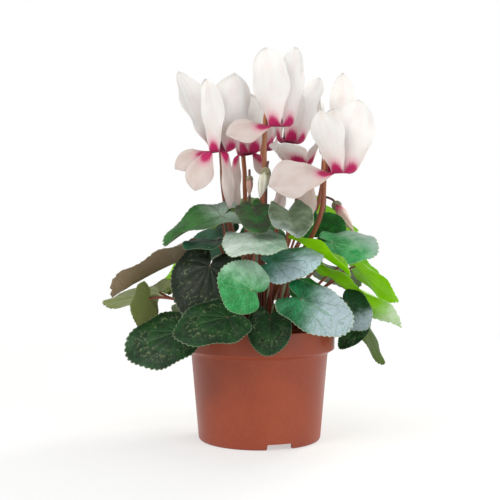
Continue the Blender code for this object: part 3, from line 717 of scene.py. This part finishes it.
def look(ground, patch, **others):
    return {**plainLook, "ground": ground, "patch": patch, **others}


# Silver is partly the leaves' own marbling and partly painted sky reflection and glare; the bluish silver of
# the pale and silver-edged leaves and the white sheen of the fresh one are largely painted reflection
leafLooks = {
    "night": look((10, 32, 18), (30, 38, 24), speckle=0.6, veinStrength=0.15, veinColour=(100, 108, 76)),
    "marbled": look((6, 40, 16), (20, 68, 26), speckle=0.8, veinStrength=0.32, veinColour=(84, 120, 66)),
    "fresh": look((18, 130, 58), (48, 162, 86), silver=(190, 222, 200), silverOffset=0.05, silverTip=0.3,
                  silverSide=-1.1, veinColour=(164, 222, 160), veinStrength=0.55, rim=0.5, roughness=0.34),
    "green": look((8, 88, 26), (24, 122, 38), veinStrength=0.4, veinColour=(116, 176, 96)),
    "bright": look((6, 104, 26), (18, 128, 36), veinStrength=0.25),
    "greenSilver": look((34, 156, 76), (88, 190, 112), silverOffset=-0.25, silverTip=0.9, silverSide=1.6,
                        veinColour=(150, 204, 150), veinStrength=0.5, rim=0.6),
    "teal": look((14, 66, 46), (36, 96, 70), veinStrength=0.35, speckle=0.3),
    "silver": look((92, 150, 110), (138, 182, 152), silver=(232, 242, 234), silverOffset=0.35,
                   silverTip=0.2, silverSide=-0.6, veinColour=(206, 220, 200), veinStrength=0.45, rim=0.7),
    "silverTip": look((4, 84, 44), (20, 122, 70), silver=(184, 202, 210), silverOffset=-0.1, silverTip=1.9,
                      silverSide=0.5, veinColour=(140, 186, 150), veinStrength=0.36, rim=0.7),
    "silverLow": look((36, 138, 92), (86, 172, 140), silver=(198, 220, 230), silverOffset=0.1,
                      silverTip=1.5, silverSide=-0.9, veinColour=(90, 150, 110), veinStrength=0.4, rim=0.7),
    "darkSilver": look((6, 46, 26), (14, 66, 38), silver=(168, 186, 192), silverOffset=-0.9, silverTip=2.6,
                       veinStrength=0.3, rim=0.6),
    # a dark leaf with a painted grey-brown sheen over one part of it
    "brownSheen": look((44, 52, 36), (12, 92, 26), silver=(96, 92, 80), silverOffset=-0.1, silverSide=-1.2,
                  veinColour=(110, 108, 84), veinStrength=0.25),
    # a painted grey-brown sheen, with silver that is partly marbling and partly painted white sheen
    "brownSheenAndSilver": look((78, 96, 72), (112, 130, 106), silver=(186, 202, 204), silverOffset=-0.65,
                        silverTip=1.1, silverSide=-1.3, speckle=0.25, rim=0.8),
    "dusk": look((34, 88, 30), (52, 112, 44), silver=(158, 180, 166), silverOffset=0.6, silverTip=-2.3,
                 under=(52, 82, 28), veinStrength=0.25, rim=0.4),
    "moss": look((72, 116, 30), (112, 150, 54), under=(112, 146, 56), throughColour=(140, 200, 20),
                 through=0.3),
    # a green leaf whose brown-grey colour and pale silver are painted light on it
    "paintedLightBrown": look((106, 92, 74), (140, 122, 98), silver=(172, 158, 142), silverOffset=0.1, silverTip=-0.6,
                 under=(158, 134, 108), veinStrength=0.3, rim=0.5),
    "olive": look((116, 138, 58), (150, 166, 88), under=(152, 166, 96), veinStrength=0.3,
                  veinColour=(170, 176, 118), through=0.25),
    # green leaves with painted back light: the glow of the sun through them is in their own yellow-green
    # colour
    "backlitLime": look((134, 200, 8), (176, 226, 28), under=(156, 214, 14), veinColour=(200, 236, 90),
                 veinStrength=0.4, throughColour=(214, 255, 10), through=0.5, rim=0.6,
                 rimColour=(226, 240, 150)),
    # painted back light as above, and painted glare whitening the tip on both sides
    "backlitLimeGlareTip": look((122, 194, 10), (162, 216, 28), under=(142, 208, 12), silver=(220, 228, 232),
                    silverOffset=-2.3, silverTip=3.9, underSilver=1.0, veinStrength=0.3, through=0.42,
                    throughColour=(214, 255, 10), rim=0.6),
}


def leafPaintGroup():
    group, given, out = newGroup("leafPaint", {
        "Vector": "plane",
        "Float": "reach below silverOffset silverTip silverSide speckle veinStrength rim underSilver",
        "Color": "ground patch silver speckleColour veinColour rimColour under",
    }, "height gloss")
    plane, reach = given["plane"], given["reach"]
    x, y, _ = split(plane)
    radius = calc("SQRT", x * x + y * y)
    turn = calc("ARCTAN2", calc("ABSOLUTE", y), x)
    bend = radius * -leafShape["veinBend"] + 1.0
    meander = (noise(plane, 3.5, 3.0) - 0.5) * 0.7
    nearest = None  # how far it is to the nearest main vein
    for angle, fineness in zip(leafShape["veins"], leafShape["veinFineness"]):
        gap = calc("ABSOLUTE", turn - bend * (meander * radius + angle)) * radius * fineness
        nearest = gap if nearest is None else calc("MINIMUM", nearest, gap)
    main = fade(nearest, 0.002, reach * -0.014 + 0.024)
    spread = nearest * -0.75 + radius + noise(plane, 5.0, 2.0) * 0.10
    comb = calc("ABSOLUTE", calc("FRACT", spread * 7.0) - 0.5)
    branch = fade(comb, 0.02, 0.08)
    cells = {"Vector": plane, "Scale": 20.0}
    net = fade(wired(group, "TexVoronoi", cells, "Distance", feature="DISTANCE_TO_EDGE"), 0.01, 0.09)
    veins = calc("MAXIMUM", calc("MAXIMUM", main, branch * 0.6), net * 0.28)
    cloud = noise(plane, 3.2, 5.0, 0.6)
    fine = noise(plane, 34.0, 4.0, 0.65)
    lie = given["silverOffset"] + x * given["silverTip"] + y * given["silverSide"]
    lie = lie + (cloud - 0.5) * 1.1 + (fine - 0.5) * 0.9
    # where the silver marbling and the painted sky reflection and glare lie, in one mask
    silver = step(lie, -0.1, 1.0) * (veins * -0.5 + 0.92)
    grains = step(noise(plane, 15.0, 5.0, 0.75, 0.4), 0.52, 0.66)
    band = step(reach, 0.42, 0.60) * fade(reach, 0.72, 0.88) * grains
    edge = step((fine - 0.5) * 0.06 + reach, 0.965, 1.005)
    colour = mix(step(cloud, 0.4, 0.62), given["ground"], given["patch"])
    colour = mix(silver, colour, given["silver"])
    colour = mix(band * given["speckle"], colour, given["speckleColour"])
    colour = mix(veins * given["veinStrength"], colour, given["veinColour"])
    colour = mix(edge * given["rim"], colour, given["rimColour"])
    below = mix(veins * 0.3, given["under"], given["veinColour"])
    below = mix(step(cloud, 0.35, 0.7) * 0.35, below, given["patch"])
    # on the under side too, where a look asks for it: painted glare
    below = mix(silver * given["underSilver"], below, given["silver"])
    feed(mix(given["below"], colour, below), out["colour"])
    feed(fine * 0.35 + veins * -0.8 + net * -0.2, out["height"])
    feed((fine - 0.5) * 0.3, out["gloss"])
    return group


leafPaint = leafPaintGroup()


def leafMaterial(name, own):
    own = {key: paint(*value) if isinstance(value, tuple) else value for key, value in own.items()}
    material, tree, shader = newMaterial("leaf_" + name, own["roughness"], Specular_IOR_Level=0.3)
    painted = useGroup(tree, leafPaint, plane=uvMap(tree, "plane"), reach=attribute(tree, "reach"),
                       below=attribute(tree, "under"), **own)
    coat(shader, painted["colour"], painted["height"], 0.00035)
    feed(painted["gloss"] + own["roughness"], shader.inputs["Roughness"])
    letLightThrough(tree, shader, mix(0.5, painted["colour"], own["throughColour"]), own["through"])
    return material


def stemPaintGroup():
    # one colour near the crown and another above the split, with fine lengthwise streaks and pale flecks
    group, given, out = newGroup("stemPaint", {"Vector": "place", "Float": "split", "Color": "low high"})
    place = given["place"]
    streak = noise(stretched(place, (900.0, 900.0, 45.0)), 1.0, 3.0)
    fleck = noise(place, 700.0, 3.0)
    rise = split(place)[2] + (streak - 0.5) * 0.06 - given["split"]
    colour = mix(step(rise, -0.03, 0.03), given["low"], given["high"])
    dark = mix(0.5, colour, paint(40, 16, 10))
    colour = mix(step(streak, 0.5, 0.75) * 0.6, colour, dark)
    feed(mix(step(fleck, 0.62, 0.75) * 0.25, colour, paint(210, 180, 150)), out["colour"])
    feed(streak + fleck, out["height"])
    return group


stemPaint = stemPaintGroup()


def stemMaterial(name, low, high, height, roughness=0.4):
    return groupMaterial(name, stemPaint, roughness, 0.4, 0.00012, low=low, high=high, split=height)[0]


petioleMaterial = stemMaterial("petioleSkin", paint(122, 52, 38), paint(150, 88, 64), 0.12)


def bladeReach(turn):
    # heart-shaped: a body that is longest at the tip, drawn in to a notch behind the petiole
    body = 0.68 + 0.19 * np.cos(turn) + 0.04 * np.cos(2 * turn) + 0.09 * np.exp(-((turn / 0.42) ** 2))
    return body * (1 - 0.75 * np.exp(-(((math.pi - np.abs(turn)) / 0.5) ** 2)))


def bladeLift(x, y, turn, share, length, fold, dice, seed):
    # the surface dips along each vein, swells between them, and waves towards the margin
    shape, size = leafShape, length / leafShape["length"]
    radius, aside = np.hypot(x, y), np.abs(np.arctan2(y, x))
    bend = 1 - shape["veinBend"] * radius / length
    gap = np.min([radius * np.abs(aside - angle * bend) for angle in shape["veins"]], axis=0)
    groove = np.exp(-((gap / (shape["grooveWidth"] * size)) ** 2)) * (1 - share**3)
    puff = (1 - np.exp(-((gap / (shape["puffWidth"] * size)) ** 2))) * (1 - share**4)
    wave = np.sin(3 * turn + dice.uniform(0, 6.3)) + 0.7 * np.sin(7 * turn + dice.uniform(0, 6.3))
    relief = shape["puff"] * puff - shape["groove"] * groove + shape["wave"] * share**3 * wave
    relief = relief + shape["uneven"] * ripple(x, y, shape["unevenPitch"], seed + 300) * share
    return fold * np.abs(y) + size * relief


def blade(row, seed, rays, rings):
    _, _, attach, tip, facing, width, droop, fold, twist, _ = row
    shape = leafShape
    attach = np.asarray(attach, float)
    length = np.linalg.norm(np.subtract(tip, attach))
    along = unit(np.subtract(tip, attach))
    up = squareTo(along, facing)
    side = np.cross(up, along)
    turn = (np.linspace(1, -1, rays) * (math.pi - shape["sinus"]))[:, None]
    share = (np.linspace(0, 1, rings) ** shape["ringEase"])[None, :]
    tooth = np.abs(np.sin(turn * shape["teeth"] / 2)) - 0.5
    dice = np.random.default_rng(seed)
    uneven = 0.03 * np.sin(2 * turn + dice.uniform(0, 6.3)) + 0.02 * np.sin(5 * turn + dice.uniform(0, 6.3))
    reach = bladeReach(turn) * share * length
    reach = reach * (1 + shape["toothDepth"] * tooth * share**9 + uneven * share**3 * 0.5)
    x, y = polar(reach, turn)
    y = y * width / shape["ownWidth"]
    lift = bladeLift(x, y, turn, share, length, fold, dice, seed)
    sag = droop * (x * x + y * y - x * length) / length
    angle = math.radians(twist) * x / length
    aside = y * np.cos(angle) - lift * np.sin(angle)
    lift = y * np.sin(angle) + lift * np.cos(angle) - sag
    middle = attach + x[..., None] * along + aside[..., None] * side + lift[..., None] * up
    thickness = shape["thickness"] * (1 - 0.55 * share**2) * np.ones_like(x)
    values = {"plane": np.stack([x / length, y / length], -1), "reach": share * np.ones_like(x)}
    return shell(middle, thickness, values), up, along


def crownPoint(angle, ring, above):
    root = towards(angle) * ring
    root[2] = tuber["top"] - ring * ring / tuber["curve"] + above
    return root


def petiole(row, up, along):
    angle, ring, attach = row[0], row[1], np.asarray(row[2], float)
    root = crownPoint(angle, ring, 0.3)
    span = np.linalg.norm(attach - root)
    rise = unit(towards(angle) * ring / 18 + np.array([0, 0, 1.0]))
    arrive = unit(0.6 * along + up)
    arrive[2] = min(arrive[2], (attach[2] - potTop - 5) / 40)  # it comes over the pot's rim
    path = bezier(root, root + rise * span * 0.4, attach - arrive * span * 0.2, attach + 0.05 * up, 26)
    share = np.linspace(0, 1, len(path))
    thin, thick = leafShape["petioleRadius"], leafShape["petioleRoot"]
    radii = thin + (thick - thin) * (1 - share) ** 3 - 0.25 * ease(0.85, 1.0, share)
    return {**sweep(path, radii, leafShape["petioleSides"]), "material": 1}


def leafGrid(number):
    if number > leafShape["lastShown"] or number in leafShape["alsoBehind"]:
        return leafShape["behind"]
    return leafShape["front" if number in leafShape["inFront"] else "shown"]


def makeLeaves():
    looks = {name: leafMaterial(name, own) for name, own in leafLooks.items()}
    for number, (node, row) in enumerate(leaves.items(), 1):
        face, up, along = blade(row, leafShape["seed"] + number, *leafGrid(number))
        parts = [face, petiole(row, up, along)]
        addPiece(f"leaf{number:02d}", parts, [looks[row[-1]], petioleMaterial], "leaf", node)


makeLeaves()
print("leaves made")

flowerShape = {
    "tubeTop": 1.6, "tubeRadius": 5.8, "tubeDepth": 7.0, "thickness": 0.42, "tipHalfWidth": 0.9,
    "across": 19, "along": 58, "tubeSteps": 8, "fineSteps": 240, "bow": 12.0,
    "mouthSlack": 3.5, "cup": 17.0,  # mm added to its cross-section's radius at the mouth and above it
    "tubeSlope": -62,  # degrees from level, of the tube's wall down to the mouth
    "pleat": 0.16, "ruffle": 1.3, "curl": 1.6,
    "stalkRadius": 1.9, "stalkRoot": 1.2, "stalkTop": 1.3, "stalkSides": 16,
    "stalkEnd": 1.6, "stalkPull": 50, "ring": 6.0,
    "sepalThickness": 0.35, "sepalLength": 6.0, "sepalRadius": 3.3, "sepalBase": 3.0, "seed": 700,
    "hook": [(13, -14), (12.5, -2), (11.5, 8), (8.5, 14.5), (4, 16.5), (0.8, 14.5), (0, 11)],
    "white": paint(242, 241, 239), "blush": paint(234, 213, 207), "shaded": paint(214, 196, 187),
    "eye": paint(200, 22, 102), "eyeDeep": paint(138, 6, 64), "halo": paint(232, 134, 170), "eyeReach": 12.5,
}

# Each flower: root angle on the crown, middle of its mouth, its upward axis, the side that its stalk comes up
# on, and its petals in turn from that side round, as heading, lean from upright, length, half width and twist
flowers = {
    "flower_01": (205, (-33, -18, 229), (-0.05, -0.05, 1), 78, [
        (182, 18, 74, 12, 62), (194, 112, 32, 12, 45), (228, 149, 36, 11, 35), (240, 5, 60, 13, 15),
        (294, 172, 48, 6, 20), (302, 8, 65, 16, 20), (8, 14, 50, 9, 0)]),
    "flower_02": (150, (-10, 14, 229), (-0.1, 0.1, 1), 105, [
        (173, 12, 52, 12, 0), (212, 172, 47, 7, 15), (228, 12, 52, 11, 15), (278, 5, 50, 11, 0),
        (300, 155, 28, 8, 10), (27, 20, 44, 11, 15)]),
    "flower_03": (300, (14, -28, 248), (0, -0.05, 1), 143, [
        (205, 103, 38, 11, 50), (217, 8, 63, 16, -28), (310, 4, 64, 11, 25), (20, 6, 58, 12, 0),
        (65, 6, 54, 12, 0)]),
    "flower_04": (60, (24, 22, 239), (0.05, 0.1, 1), 102, [
        (164, 8, 54, 11, 0), (205, 8, 54, 10, 15), (265, 12, 48, 10, 15), (333, 12, 59, 8.5, 40),
        (40, 12, 52, 12, 10)]),
    "flower_05": (358, (61, -28, 212), (0, -0.05, 1), 150, [
        (203, 99, 54, 15, 70), (215, 19, 54, 13, -30), (305, 7, 60, 16, 40), (30, 8, 52, 12, 20),
        (88, 3, 54, 13, 20)]),
    "flower_06": (328, (31, -8, 217), (0, 0.2, 1), 93, [
        (152, 35, 32, 11, 15), (190, 165, 43, 8, 30), (235, 60, 28, 13, 0), (35, 25, 34, 11, 15),
        (48, 174, 42, 7, 20)]),
    "flower_07": (36, (61, 45, 230), (0.05, 0.1, 1), 117, [
        (181, 8, 58, 11, 0), (215, 10, 60, 12, 40), (275, 4, 72, 11, 30), (330, 6, 48, 11, 30),
        (18, 8, 46, 12, 30)]),
    "flower_08": (95, (4, 62, 236), (0, 0.15, 1), 265, [
        (345, 14, 52, 13, 15), (15, 18, 56, 13, 15), (75, 16, 58, 13, 15), (130, 14, 56, 13, 15),
        (183, 20, 54, 13, 15)]),
}


def petalMaterial():
    shape, eyeReach = flowerShape, flowerShape["eyeReach"]
    material, tree, shader = newMaterial("petalTissue", 0.55, Specular_IOR_Level=0.35, Sheen_Weight=0.15)
    spread = uvMap(tree, "petal")
    away = attribute(tree, "fromMouth")
    streak = noise(stretched(spread, (46.0, 2.2, 1.0)), 1.0, 3.0, 0.6)
    cloud = noise(stretched(spread, (3.0, 3.0, 1.0)), 1.0, 3.0)
    centred = split(spread)[0] - 0.5
    reach = away + (streak - 0.5) * 12.0 + centred * centred * 34.0
    eye = fade(reach, eyeReach - 2.6, eyeReach + 1.6)
    halo = fade(reach, eyeReach - 1.0, eyeReach + 7.0)
    # warmer towards the mouth, partly a pink flush and partly painted shade in the throat, with random cloudy
    # patches
    throatBlushAndShade = fade(away, 2.0, 36.0) * 0.55 + step(cloud, 0.4, 0.7) * 0.25
    hangingShade = step(cloud, 0.35, 0.7) * 0.3 + 0.55  # petals that hang are painted darker, as shade
    colour = mix(throatBlushAndShade, shape["white"], shape["blush"])
    colour = mix(step(streak, 0.52, 0.7) * 0.10, colour, shape["blush"])
    colour = mix(attribute(tree, "hanging") * hangingShade, colour, shape["shaded"])
    colour = mix(halo * 0.5, colour, shape["halo"])
    colour = mix(eye, colour, mix(step(away, -3.0, 5.0), shape["eyeDeep"], shape["eye"]))
    coat(shader, colour, streak, 0.00025)
    letLightThrough(tree, shader, colour, 0.36)
    return material


def petalPath(mouth, axes, sector, petal):
    # The midline comes down the tube's wall, rounds the mouth's rim and swings up to the petal's own lean and
    # heading. Given at even steps of length: the path, and the ways of its side, outwards and of its face.
    shape = flowerShape
    axis, right, back = axes
    head, lean, length, _, _ = petal
    share = np.linspace(0, 1, shape["fineSteps"])
    roll = ease(0, 0.05, share)
    swing = ease(0.0, 0.16, share)
    slope = np.radians(shape["tubeSlope"]) * (1 - roll)
    slope = slope + np.radians(90 - lean - shape["bow"] * (share - 0.5)) * swing
    around = (head - sector + 180) % 360 - 180
    turn = np.radians(sector + around * swing)
    out = between(right, back, turn)
    run, face = between(out, axis, slope), between(axis, -out, slope)
    start = mouth + shape["tubeRadius"] * out[0]
    walk = np.cumsum((run[1:] + run[:-1]) / 2, axis=0) * length / (len(share) - 1)
    return share, (start + np.vstack([np.zeros(3), walk]), np.cross(run, face), out, face)


def petalStrip(mouth, axes, sector, petal, petals, seed):
    # a cross-section bent round the flower's axis, tight at the mouth and slack above, is led along the path
    shape = flowerShape
    _, lean, length, halfWidth, twist = petal
    fine, lines = petalPath(mouth, axes, sector, petal)
    share = np.linspace(0, 1, shape["along"]) ** 1.15
    path, side, out, normal = (np.stack([np.interp(share, fine, line[:, part]) for part in range(3)], -1)
                               for line in lines)
    footSlope = math.tan(math.pi / petals)
    bluntness = 0.5 + 0.22 * ease(0.7, 1.0, share)
    width = halfWidth * np.sin(np.pi * share**1.8) ** bluntness
    width = width + shape["tubeRadius"] * footSlope * (1 - share) ** 3
    width[-1] = shape["tipHalfWidth"] * 0.5
    bend = shape["tubeRadius"] + shape["mouthSlack"] * ease(0, 0.12, share)
    bend = bend + shape["cup"] * ease(0.08, 0.45, share)
    # the tube's wall above the mouth comes first
    steps = np.linspace(0, 1, shape["tubeSteps"], endpoint=False)
    tubeRadius = shape["tubeTop"] + (shape["tubeRadius"] - shape["tubeTop"]) * steps**0.6
    tubeSide, tubeOut = lines[1][0], lines[2][0]
    tubePath = mouth + tubeRadius[:, None] * tubeOut + np.outer((1 - steps) * shape["tubeDepth"], axes[0])

    def afterTube(way, petalWays):
        return np.vstack([np.repeat(way[None], len(steps), 0), petalWays])

    angle = math.radians(twist) * np.clip(share / 0.4, 0, 1)
    angle = np.concatenate([np.zeros(len(steps)), angle])
    path = np.vstack([tubePath, path])
    side, out, normal = afterTube(tubeSide, side), afterTube(tubeOut, out), afterTube(tubeOut, normal)
    width = np.concatenate([tubeRadius * footSlope * 0.98, width])[:, None, None]
    bend = np.concatenate([tubeRadius, bend])[:, None, None]
    away = np.concatenate([(steps - 1) * shape["tubeDepth"], share * length])
    turnedSide = between(side, normal, angle)[:, None]
    turnedOut = between(out, np.cross(out, unit(np.gradient(path, axis=0))), angle)[:, None]
    u = np.linspace(-1, 1, shape["across"])[None, :, None]
    arc = width * u / bend
    middle = path[:, None] + turnedSide * bend * np.sin(arc) - turnedOut * bend * (1 - np.cos(arc))
    opened = ease(8, 30, away)[:, None, None]
    dice = np.random.default_rng(seed)
    ruffle = np.abs(u) ** 3 * np.sin(away[:, None, None] * 0.22 + dice.uniform(0, 6.3) + 1.5 * u)
    pleat = np.cos(5 * np.pi * u) * (1 - 0.5 * np.abs(u))
    curl = ease(0.75, 1.0, away / length)[:, None, None] * dice.uniform(-1, 1)
    relief = shape["ruffle"] * ruffle + shape["pleat"] * pleat + shape["curl"] * curl
    middle = middle + unit(normal)[:, None] * relief * opened
    even = np.ones(middle.shape[:2])
    across, along = (u[..., 0] + 1) / 2 * even, away[:, None] * even
    values = {"petal": np.stack([across, along / 60 + 0.2], -1), "fromMouth": along,
              "hanging": even * ease(60, 100, lean)}
    return shell(middle, shape["thickness"], values)


def flowerAxes(up):
    up = unit(up)
    right = squareTo(up, (1, 0, 0))
    return up, right, np.cross(up, right)


def calyx(base, axes, depth, radius, slot):
    # five pointed sepals pressed to the flower: a cup whose rim is drawn out five times
    axis, right, back = axes
    turn = np.linspace(0, 2 * math.pi, 41)[:, None]
    share = np.linspace(0, 1, 9)[None, :]
    point = np.abs(np.cos(2.5 * turn)) ** 1.5
    fall = share * (depth * (0.45 + 0.55 * point))
    width = 0.9 + (radius - 0.9) * np.sin(share * math.pi / 2) ** 0.8 + 0.15 * share * np.cos(5 * turn)
    middle = base + between(right, back, turn) * width[..., None] - fall[..., None] * axis
    return {**shell(middle, flowerShape["sepalThickness"], {}), "material": slot}


def stalkThrough(knots, perSpan, angle, ring, shape, shares, sizes):
    # it rises from the crown to the first knot, and goes on through the rest
    root, lift = crownPoint(angle, ring, 0.2), np.array([0, 0, shape["stalkPull"]])
    rise = bezier(root, root + lift, knots[0] - lift, knots[0], 34)
    path = np.vstack([rise[:-1], splineThrough(knots, perSpan)])
    radii = np.interp(np.linspace(0, 1, len(path)), shares, [shape[size] for size in sizes])
    return sweep(path, radii, shape["stalkSides"])


def flowerStalk(angle, mouth, axes, stalkSide):
    # it rises beside the flower, hooks over it and goes down into the tube
    shape = flowerShape
    axis, right, back = axes
    out = between(right, back, math.radians(stalkSide))
    hook = [mouth + distance * out + height * axis for distance, height in shape["hook"]]
    hook.append(mouth + (shape["tubeDepth"] + shape["stalkEnd"]) * axis)
    sizes = ("stalkRoot", "stalkRadius", "stalkRadius", "stalkTop", "stalkTop")
    return stalkThrough(hook, 6, angle, shape["ring"], shape, [0, 0.25, 0.75, 0.85, 1], sizes)


def makeFlowers():
    tissue = petalMaterial()
    stalk = stemMaterial("stalkSkin", paint(136, 72, 46), paint(166, 108, 72), 0.21)
    sepal = stemMaterial("sepalSkin", paint(122, 96, 62), paint(128, 112, 74), 0.2, 0.6)
    shape = flowerShape
    for number, (node, (angle, mouth, up, stalkSide, petals)) in enumerate(flowers.items(), 1):
        axes, mouth, count = flowerAxes(up), np.asarray(mouth, float), len(petals)
        seed = shape["seed"] + 10 * number
        strips = [petalStrip(mouth, axes, stalkSide + 360 / count * (index + 0.5), petal, count, seed + index)
                  for index, petal in enumerate(petals)]
        addPiece(f"corolla{number:02d}", strips, [tissue], "petal", node + "_corolla")
        top = mouth + (shape["tubeDepth"] + shape["sepalBase"]) * axes[0]
        parts = [flowerStalk(angle, mouth, axes, stalkSide),
                 calyx(top, axes, shape["sepalLength"], shape["sepalRadius"], 1)]
        addPiece(f"stalk{number:02d}", parts, [stalk, sepal], "stalk", node + "_stalk")


makeFlowers()
print("flowers made")

budShape = {
    "sides": 40, "rows": 40, "spiral": 5.0, "flute": 0.10,
    # how wide it is along its length, as shares of its greatest radius
    "girthAt": (0, 0.12, 0.3, 0.5, 0.75, 0.93, 1.0), "girth": (0.55, 0.85, 1.0, 0.95, 0.66, 0.3, 0.12),
    "stalkSides": 14, "stalkRoot": 1.4, "stalkRadius": 1.0, "stalkPull": 40,
    "sepalLength": 1.5, "sepalRadius": 1.02,  # as shares of its greatest radius
    "sepalBase": 1.2,
}

# Each bud: root angle and ring, the side that its stalk comes up on, calyx, tip, greatest radius, and its
# colours at the calyx, at the middle and at the tip
buds = {
    "bud_01": (270, 6, 90, (5, -34, 214), (0, -34, 192), 4.2,
               (paint(206, 210, 178), paint(230, 232, 214), paint(236, 232, 222))),
    "bud_02": (345, 3, 180, (63, 38, 189), (79, 38, 165), 4.0,
               (paint(196, 60, 112), paint(224, 196, 186), paint(226, 206, 186))),
    "bud_03": (235, 6, 90, (-8, -22, 208), (-8, -23, 194), 2.6,
               (paint(186, 140, 130), paint(200, 160, 148), paint(204, 176, 160))),
}


def budPaintGroup():
    # three colours along the bud, and shadow in the grooves between its folded petals
    inputs = {"Vector": "place", "Float": "along ridge", "Color": "base middle tip"}
    group, given, out = newGroup("budPaint", inputs)
    place = given["place"]
    reach = given["along"] + (noise(place, 400.0, 3.0) - 0.5) * 0.12
    colour = mix(step(reach, 0.15, 0.38), given["base"], given["middle"])
    colour = mix(step(reach, 0.5, 0.95), colour, given["tip"])
    feed(mix((1.0 - given["ridge"]) * 0.35, colour, paint(170, 130, 110)), out["colour"])
    feed(noise(place, 1500.0, 2.0), out["height"])
    return group


budPaint = budPaintGroup()


def budMaterial(name, base, middle, tip):
    material, tree, shader, colour = groupMaterial(
        name, budPaint, 0.45, 0.4, 0.00008, ("along", "ridge"), base=base, middle=middle, tip=tip)
    letLightThrough(tree, shader, colour, 0.2)
    return material


def budBody(start, tip, radius):
    # a spindle: the folded petals wind round it as five shallow flutes
    shape = budShape
    share = np.linspace(0.0, 1.0, shape["rows"])
    girth = radius * np.interp(share, shape["girthAt"], shape["girth"])
    wave = np.cos(5 * circle(shape["sides"])[None] + shape["spiral"] * share[:, None])
    ridge = 0.5 + 0.5 * wave
    radii = girth[:, None] * (1 + shape["flute"] * wave * ease(0.1, 0.4, share)[:, None])
    bow = np.outer(np.sin(share * math.pi) * 0.3, (0.0, 1.0, 0.0))  # so that sweep finds a plane in the path
    part = sweep(start + np.outer(share, tip - start) + bow, radii, shape["sides"])
    part["values"]["ridge"] = np.vstack([ridge[:1], ridge, ridge[-1:]]).reshape(-1, 1)
    return part


def budStalk(angle, ring, stalkSide, start, axis):
    out, down = towards(stalkSide), np.array([0, 0, -1.0])
    knots = [start + 9 * out + 10 * down, start + 8 * out - down, start + 4.5 * out - 5.5 * axis,
             start - 3.0 * axis, start + 0.5 * axis]
    sizes = ("stalkRoot", "stalkRadius", "stalkRadius")
    return {**stalkThrough(knots, 7, angle, ring, budShape, [0, 0.3, 1], sizes), "material": 1}


def makeBuds():
    stalk = stemMaterial("budStalkSkin", paint(104, 52, 44), paint(84, 48, 42), 0.16)
    sepal = stemMaterial("budSepalSkin", paint(120, 112, 84), paint(136, 132, 104), 0.19, 0.6)
    shape = budShape
    for number, (node, row) in enumerate(buds.items(), 1):
        angle, ring, stalkSide, start, tip, radius, colours = row
        start, tip = np.asarray(start, float), np.asarray(tip, float)
        axis = unit(tip - start)
        aside = squareTo(axis, (0.3, 0.2, 1.0))
        axes = (-axis, aside, np.cross(axis, aside))
        parts = [budBody(start, tip, radius), budStalk(angle, ring, stalkSide, start, axis),
                 calyx(start - shape["sepalBase"] * axis, axes, radius * shape["sepalLength"],
                       radius * shape["sepalRadius"], 2)]
        tissue = budMaterial(f"budTissue{number}", *colours)
        addPiece(f"bud{number:02d}", parts, [tissue, stalk, sepal], "bud", node)


makeBuds()
print("buds made")
